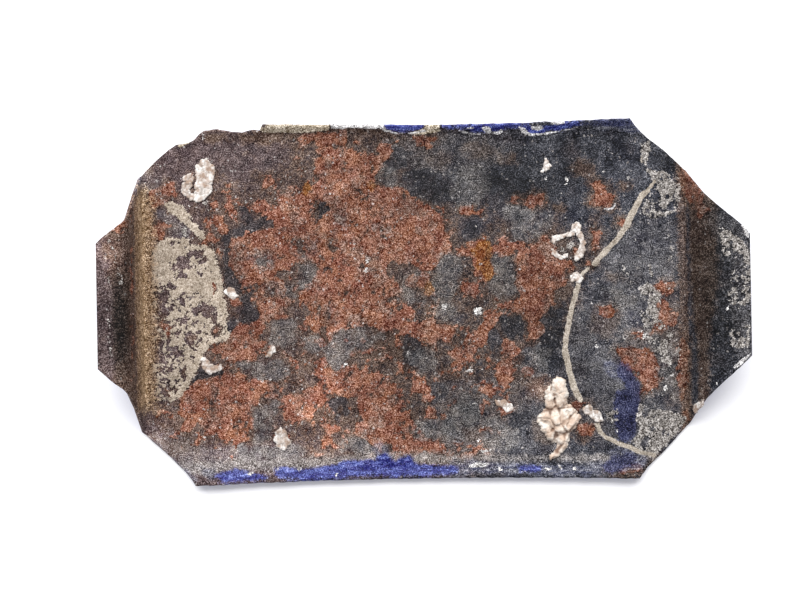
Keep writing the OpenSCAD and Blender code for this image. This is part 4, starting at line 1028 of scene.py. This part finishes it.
# The cut edge: enamel runs thin on it and has chipped, so white glass, dark ground coat and rust take
# turns along it. It gives the eye a broken pale line round the outline.
edge, place = bare("chipped_edge")
runs = add(edge, "TexNoise", {"Vector": place, "Scale": 1000 / 9, "Detail": 3.0, "Roughness": 0.6})
chips = add(edge, "TexNoise", {"Vector": place, "Scale": 1000 / 1.1, "Detail": 4.0, "Roughness": 0.6})
rusty = add(edge, "Mix", {0: chips, 6: "#2E211E", 7: "#7A4B34"}, out=2, data_type="RGBA")
pale = add(edge, "Mix", {0: chips, 6: "#5D5A60", 7: "#A9A6A6"}, out=2, data_type="RGBA")
turns = add(edge, "MapRange", {"Value": runs, 1: 0.44, 2: 0.58})
shown = add(edge, "Mix", {0: turns, 6: rusty, 7: pale}, out=2, data_type="RGBA")
dry = add(edge, "MapRange", {"Value": turns, 3: 0.85, 4: 0.4})
pitted = add(edge, "Bump", {"Height": chips, "Strength": 0.5, "Distance": 0.0002})
cut = add(edge, "BsdfPrincipled", {"Base Color": shown, "Roughness": dry, "Normal": pitted,
                                   "IOR": 1.5})
add(edge, "OutputMaterial", {"Surface": cut})
for material in (ground_coat, cobalt, edge):
    sheet.materials.append(material)

# Crusts: scraps of lime wash and old filler that stayed on the back, thin, brittle and curled at their
# edges. Each has its height over the sheet in mm, then its outline on the blank.
crusts = {
    "crust_top_left": (0.55, [
        (-64.5, 44.3), (-63, 44.9), (-61.5, 43.3), (-60.3, 41.4), (-60.6, 39.3), (-61.6, 37.2),
        (-61.3, 35.3), (-62.6, 33.8), (-64.1, 32.3), (-66.3, 31.8), (-68.1, 32.7), (-69.9, 34),
        (-70.5, 36.1), (-69.8, 37.6), (-68, 37.9), (-67.1, 37), (-68.3, 35.8), (-68.1, 34.5),
        (-66.8, 33.9), (-65.9, 35.1), (-66.5, 36.3), (-65.8, 38.2), (-65.8, 40.3), (-66.1, 42.5)]),
    "crust_top_left_b": (0.25, [
        (-69.8, 39.8), (-67.9, 40.4), (-66.7, 39.4), (-67.1, 37.9), (-68.9, 37.6), (-70.1, 38.6)]),
    "crust_ring": (0.5, [
        (48.6, 22.4), (49.8, 23.6), (51, 22.4), (51, 20.8), (51.9, 19.3), (52.5, 17.1),
        (52.4, 14.7), (51.2, 12.9), (49.9, 11.7), (49, 12), (49, 12.9), (50, 14.4), (50.9, 16.3),
        (50.9, 17.8), (50.4, 19.3), (49.5, 20.6), (48.6, 21.2)]),
    "crust_ring_top": (0.35, [
        (48.9, 20.9), (47, 20.3), (45.8, 19.4), (44.2, 19.7), (42.7, 19.2), (42.4, 17.6),
        (43, 17), (43.6, 18.2), (45.5, 18.8), (47.3, 19.4), (49.1, 19.6)]),
    "crust_ring_foot": (0.3, [
        (42.3, 15.5), (43.5, 14.5), (45.1, 13.3), (46.9, 13.9), (46.9, 13), (45.3, 12.4),
        (43.8, 12.7), (42.6, 14)]),
    "crust_shell": (0.8, [
        (-42.7, -38.7), (-41.5, -37.5), (-40.6, -38.4), (-39.7, -39.7), (-39.1, -41.2),
        (-38.5, -41.8), (-38.8, -43), (-39.7, -43.3), (-40.4, -44.5), (-41.6, -44.2),
        (-42.8, -43.3), (-43.4, -41.4), (-43, -39.9)]),
    "crust_crescent": (0.6, [
        (-65.3, -16.3), (-64.3, -15.7), (-63.4, -16.9), (-61.9, -18.5), (-60.4, -18.8),
        (-59.5, -17.6), (-59.2, -19.1), (-60.7, -20.3), (-62.6, -20.9), (-64.1, -20),
        (-65.3, -18.1)]),
    "crust_film_tip": (0.4, [
        (-57.6, 5), (-55.7, 5.3), (-54.5, 4), (-53.9, 2.5), (-55.5, 1.9), (-56.7, 3.1),
        (-57.9, 3.8)]),
    "crust_speck_a": (0.5, [
        (-44.1, -12.7), (-42.9, -13.3), (-42.6, -14.5), (-43.8, -15.1), (-44.5, -16.3),
        (-45.4, -15.7), (-44.7, -13.9)]),
    "crust_speck_b": (0.6, [
        (47.7, 7.1), (48.9, 7.7), (49.9, 8.3), (50.8, 7.4), (51.7, 6.1), (50.4, 4.9),
        (49.2, 5.6), (48, 5.6)]),
    "crust_speck_c": (0.45, [
        (24.1, -30.1), (25.6, -30.7), (27.2, -30.7), (29.3, -32), (29.6, -33.2), (28, -34.1),
        (26.5, -32.9), (25, -31.9)]),
    "crust_star": (0.5, [
        (40.7, 43.3), (41.3, 42.7), (41.6, 41.5), (42.5, 40.9), (41.8, 40), (40.9, 39.4),
        (39.7, 39.1), (40, 40.3), (40.4, 41.8)]),
    "crust_edge_chip": (0.5, [
        (87, -32.8), (88.6, -31.8), (90.3, -31.3), (91.1, -30.6), (90.7, -32.2), (88.4, -33.6),
        (87.6, -34.9), (86.7, -34.1)]),
    "filler_flake": (0.7, [
        (50.7, -33.3), (51.9, -32.7), (53.1, -32.4), (53.7, -34.3), (54.9, -34), (56.1, -34.6),
        (56.4, -36.1), (57, -37.1), (55.8, -37.7), (54, -36.7), (52.8, -35.5), (51.6, -34.8)]),
}


# Seeds the random draw behind noise_vector, by which each scrap's planes lean
noise.seed_set(7)


def scrap(name, height, outline, seed, plane_mm, creases=()):
    """A closed scrap of crust: crumpled on top into leaning planes, thin at its torn edge, with a flat
    foot in the sheet. Its height and how wide the planes are is in mm."""
    step, margin, thin, foot_depth = 0.22, 0.6, 0.12, 0.1
    low, high = np.min(outline, axis=0) - margin, np.max(outline, axis=0) + margin
    x, across = np.meshgrid(np.arange(low[0], high[0], step), np.arange(low[1], high[1], step),
                            indexing="ij")
    wave = (x + 0.45 * mottle(1.1, 4, seed, (x, across)),
            across + 0.45 * mottle(1.1, 4, seed + 5, (x, across)))
    depth = inside(outline, wave) + 0.2
    slope_x, slope_y = np.gradient(depth, step)
    steep = np.hypot(slope_x, slope_y) + 1e-6

    # Squares of the grid that lie within, and its outer points, drawn out to the torn edge
    full = (depth[:-1, :-1] > 0) & (depth[1:, :-1] > 0) & (depth[1:, 1:] > 0) & (depth[:-1, 1:] > 0)
    used = np.zeros(depth.shape, int)
    first, rest = slice(None, -1), slice(1, None)
    for i, j in ((first, first), (rest, first), (rest, rest), (first, rest)):
        used[i, j] += full
    border = (used > 0) & (used < 4)
    shift = np.where(border, np.clip(depth, 0, step), 0)
    x, across = x - shift * slope_x / steep, across - shift * slope_y / steep

    # Each cell is a plane that leans its own way, and the seams between them are hollow
    facet, lean = np.zeros(x.shape), np.zeros(x.shape)
    for at, a, b in zip(np.ndindex(x.shape), x.flat, across.flat):
        near, points = noise.voronoi((a / plane_mm, b / plane_mm, seed))
        slope = noise.noise_vector(points[0] * 5.3)
        facet[at] = min((near[1] - near[0]) / 0.2, 1)
        lean[at] = slope.x * (a / plane_mm - points[0].x) + slope.y * (b / plane_mm - points[0].y)
    body = 1 - np.exp(-np.clip(depth, 0, None) / (0.22 * height))
    curl = mottle(1.6, 3, seed + 2, (x, across))
    top_z = thin + height * body * (0.6 + 0.9 * lean + 0.14 * facet + 0.12 * curl)
    # Darker in seams, on low-leaning planes and in creases: partly dirt, partly painted shade
    shade_and_dirt_in_hollows = facet - 0.35 + 0.5 * lean + 0.3 * curl
    for half, line in creases:
        cut = np.exp(-(beside(line, wave) / half) ** 2)
        top_z = top_z - 0.9 * cut
        shade_and_dirt_in_hollows = shade_and_dirt_in_hollows - 0.7 * cut

    # Top and foot share the grid, and walls stand where a square has no neighbour
    picked = used > 0
    count = int(picked.sum())
    number = np.full(depth.shape, -1)
    number[picked] = np.arange(count)
    tops = on_sheet(x[picked], across[picked], sheet_t / 2 + np.clip(top_z, thin, None)[picked])
    foot = on_sheet(x[picked], across[picked], np.full(count, sheet_t / 2 - foot_depth))
    quads, sides = [], {}
    for i, j in zip(*np.nonzero(full)):
        ring = [int(number[at]) for at in ((i, j), (i + 1, j), (i + 1, j + 1), (i, j + 1))]
        quads += [ring, [count + n for n in ring[::-1]]]
        for a, b in zip(ring, ring[1:] + ring[:1]):
            if (b, a) in sides:
                del sides[(b, a)]
            else:
                sides[(a, b)] = True
    quads += [(b, a, count + a, count + b) for a, b in sides]

    mesh = bpy.data.meshes.new(name)
    mesh.from_pydata(np.concatenate([tops, foot]) * MM, [], quads)
    mesh.polygons.foreach_set("use_smooth", [True] * len(quads))
    store(mesh, "hollow_shade_and_dirt", np.tile(shade_and_dirt_in_hollows[picked], 2))
    piece = placed(name, mesh)
    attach(piece, "root")
    return mesh


def crumbly(name, smear, shade_and_dirt_in_hollows, fleck, bump_mm, roughness):
    """A dried, matt mass. Smear: its size in mm, from where to where it turns, its two tones. Shade and
    dirt in hollows: from where to where it fades, how much it hides, its tone, partly dirt and partly
    painted shade. Fleck: its size in mm, from where to where it fades, how much it hides, its tone."""
    made, place = bare(name)
    hollow_shade_and_dirt = add(made, "Attribute", out="Fac", attribute_name="hollow_shade_and_dirt")
    smears, flecks = [
        add(made, "TexNoise", {"Vector": place, "Scale": 1000 / size_mm, "Detail": octaves,
                               "Roughness": 0.6})
        for size_mm, octaves in ((smear[0], 4.0), (fleck[0], 3.0))]
    turned = add(made, "MapRange", {"Value": smears, 1: smear[1], 2: smear[2]})
    tone = add(made, "Mix", {0: turned, 6: smear[3], 7: smear[4]}, out=2, data_type="RGBA")
    for value, (start, end, cover, dark_tone) in ((hollow_shade_and_dirt, shade_and_dirt_in_hollows), (flecks, fleck[1:])):
        faded = add(made, "MapRange", {"Value": value, 1: start, 2: end, 3: cover, 4: 0.0})
        tone = add(made, "Mix", {0: faded, 6: tone, 7: dark_tone}, out=2, data_type="RGBA")
    grainy = add(made, "Bump", {"Height": flecks, "Strength": 0.4, "Distance": bump_mm * MM})
    matt = add(made, "BsdfPrincipled", {"Base Color": tone, "Roughness": roughness,
                                        "Normal": grainy})
    add(made, "OutputMaterial", {"Surface": matt})
    return made


# Lime scrap: chalky, matt and nearly white, greyer in its hollows with dirt and painted shade, and
# yellowed here and there
chalk = crumbly("chalky_lime", smear=(2.2, 0.38, 0.58, "#9E8777", "#E4DFDA"),
                shade_and_dirt_in_hollows=(-0.35, 0.35, 0.65, "#7A6A5E"), fleck=(0.45, 0.3, 0.48, 0.6, "#6E645A"),
                bump_mm=0.15, roughness=0.95)
for number, (name, (height_mm, outline)) in enumerate(crusts.items()):
    scrap(name, height_mm, outline, 1.7 * number + 0.3, plane_mm=1.7).materials.append(chalk)

# The filler wad: a lump of old putty and lime at the lower right. It was pressed in soft and crumpled,
# and has dried hard, cream on its folds and brown in its creases, partly dirt and partly painted shade.
wad_height = 2.4
wad_outline = [
    (41.9, -24.9), (43.2, -23.7), (44.7, -24), (45.6, -25.2), (45.9, -27.4), (46.5, -28.9),
    (45.8, -30.5), (46.1, -32), (47.6, -32.9), (49.1, -34.5), (50, -36), (49.1, -37.9),
    (47.5, -39.7), (46.5, -41.2), (46.2, -43), (45.6, -45.1), (44.3, -46.6), (42.5, -48.1),
    (40.6, -48.7), (40.3, -47.8), (41.9, -46.6), (42.8, -45.4), (43.1, -43.6), (41.6, -43.5),
    (40.1, -42.3), (38.9, -40.4), (38, -39.8), (38, -38.6), (36.8, -37), (37.2, -35.5),
    (38.7, -34.3), (39.7, -33.1), (39.4, -30.6), (39.7, -27.9), (41, -26.1)]
# Creases of the wad: half a crease's width, and the line that it follows on the blank
creases = [
    (0.9, [(39.3, -33.1), (41.8, -34.1), (44.2, -33.2), (46.4, -32)]),
    (0.7, [(37.8, -37), (39.9, -37.7), (41.4, -39.9), (42.6, -41.7)]),
    (0.8, [(42.6, -41.7), (44.7, -41.1), (47.2, -40.3)]),
    (0.8, [(41.3, -44.4), (42.5, -42.9), (43.7, -44.8), (42.5, -46.6)]),
    (0.5, [(45.8, -34.1), (46.9, -36.3), (46, -38.4)]),
    (0.5, [(41.3, -27), (42.8, -29.5), (41.8, -31.6)]),
]
# Dried putty: matt and cream, a little yellow in places. It gives the eye soft folds with brown seams,
# partly dirt and partly painted shade.
putty = crumbly("dried_putty", smear=(3.5, 0.4, 0.6, "#C8B2A0", "#E6DFD5"),
                shade_and_dirt_in_hollows=(-0.7, 0.1, 0.85, "#6A4A38"), fleck=(0.5, 0.3, 0.46, 0.4, "#7C6450"),
                bump_mm=0.2, roughness=0.88)
scrap("filler_wad", wad_height, wad_outline, 1.7 * len(crusts) + 0.3, plane_mm=4.2,
      creases=creases).materials.append(putty)

# The stage: plain pale floor just under the plate, one soft lamp beyond the plate's upper edge, and an
# even pale sky
floor_half, floor_drop = 3, 0.2 * MM
floor_mesh = bpy.data.meshes.new("floor")
corners = ((-1, -1), (1, -1), (1, 1), (-1, 1))
floor_mesh.from_pydata([(a * floor_half, b * floor_half, 0) for a, b in corners], [], [(0, 1, 2, 3)])
floor = placed("floor", floor_mesh)
floor.location.z = -floor_drop
paper = bpy.data.materials.new("white_paper")
paper.use_nodes = True
matt = paper.node_tree.nodes["Principled BSDF"]
matt.inputs["Base Color"].default_value = linear("#FDFDFE")
matt.inputs["Roughness"].default_value = 0.9
floor_mesh.materials.append(paper)
floor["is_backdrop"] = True

world = bpy.data.worlds.new("studio")
world.use_nodes = True
sky = world.node_tree.nodes["Background"]
sky.inputs["Color"].default_value = linear("#F8F8FC")
sky.inputs["Strength"].default_value = 0.6
bpy.context.scene.world = world
lamp_data = bpy.data.lights.new("window", "AREA")
lamp_data.shape = "RECTANGLE"
lamp_data.size, lamp_data.size_y = 1.2, 0.55
lamp_data.energy = 14
lamp = placed("window", lamp_data)
lamp.location = (-0.08, 0.6, 0.68)
lamp.rotation_euler = (-lamp.location).to_track_quat("-Z", "Y").to_euler()
bpy.context.scene.view_settings.view_transform = "Standard"

# The camera looks straight down, turned by a degree as the photograph is
lens = bpy.data.cameras.new("camera")
lens.sensor_width, lens.lens = 36, 40.5
lens.clip_start, lens.clip_end = 0.01, 10
camera = placed("camera", lens)
camera.location = (-0.0074, 0.0007, 0.2762)
camera.rotation_euler = (0, 0, math.radians(-1.0))
bpy.context.scene.camera = camera

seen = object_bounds()
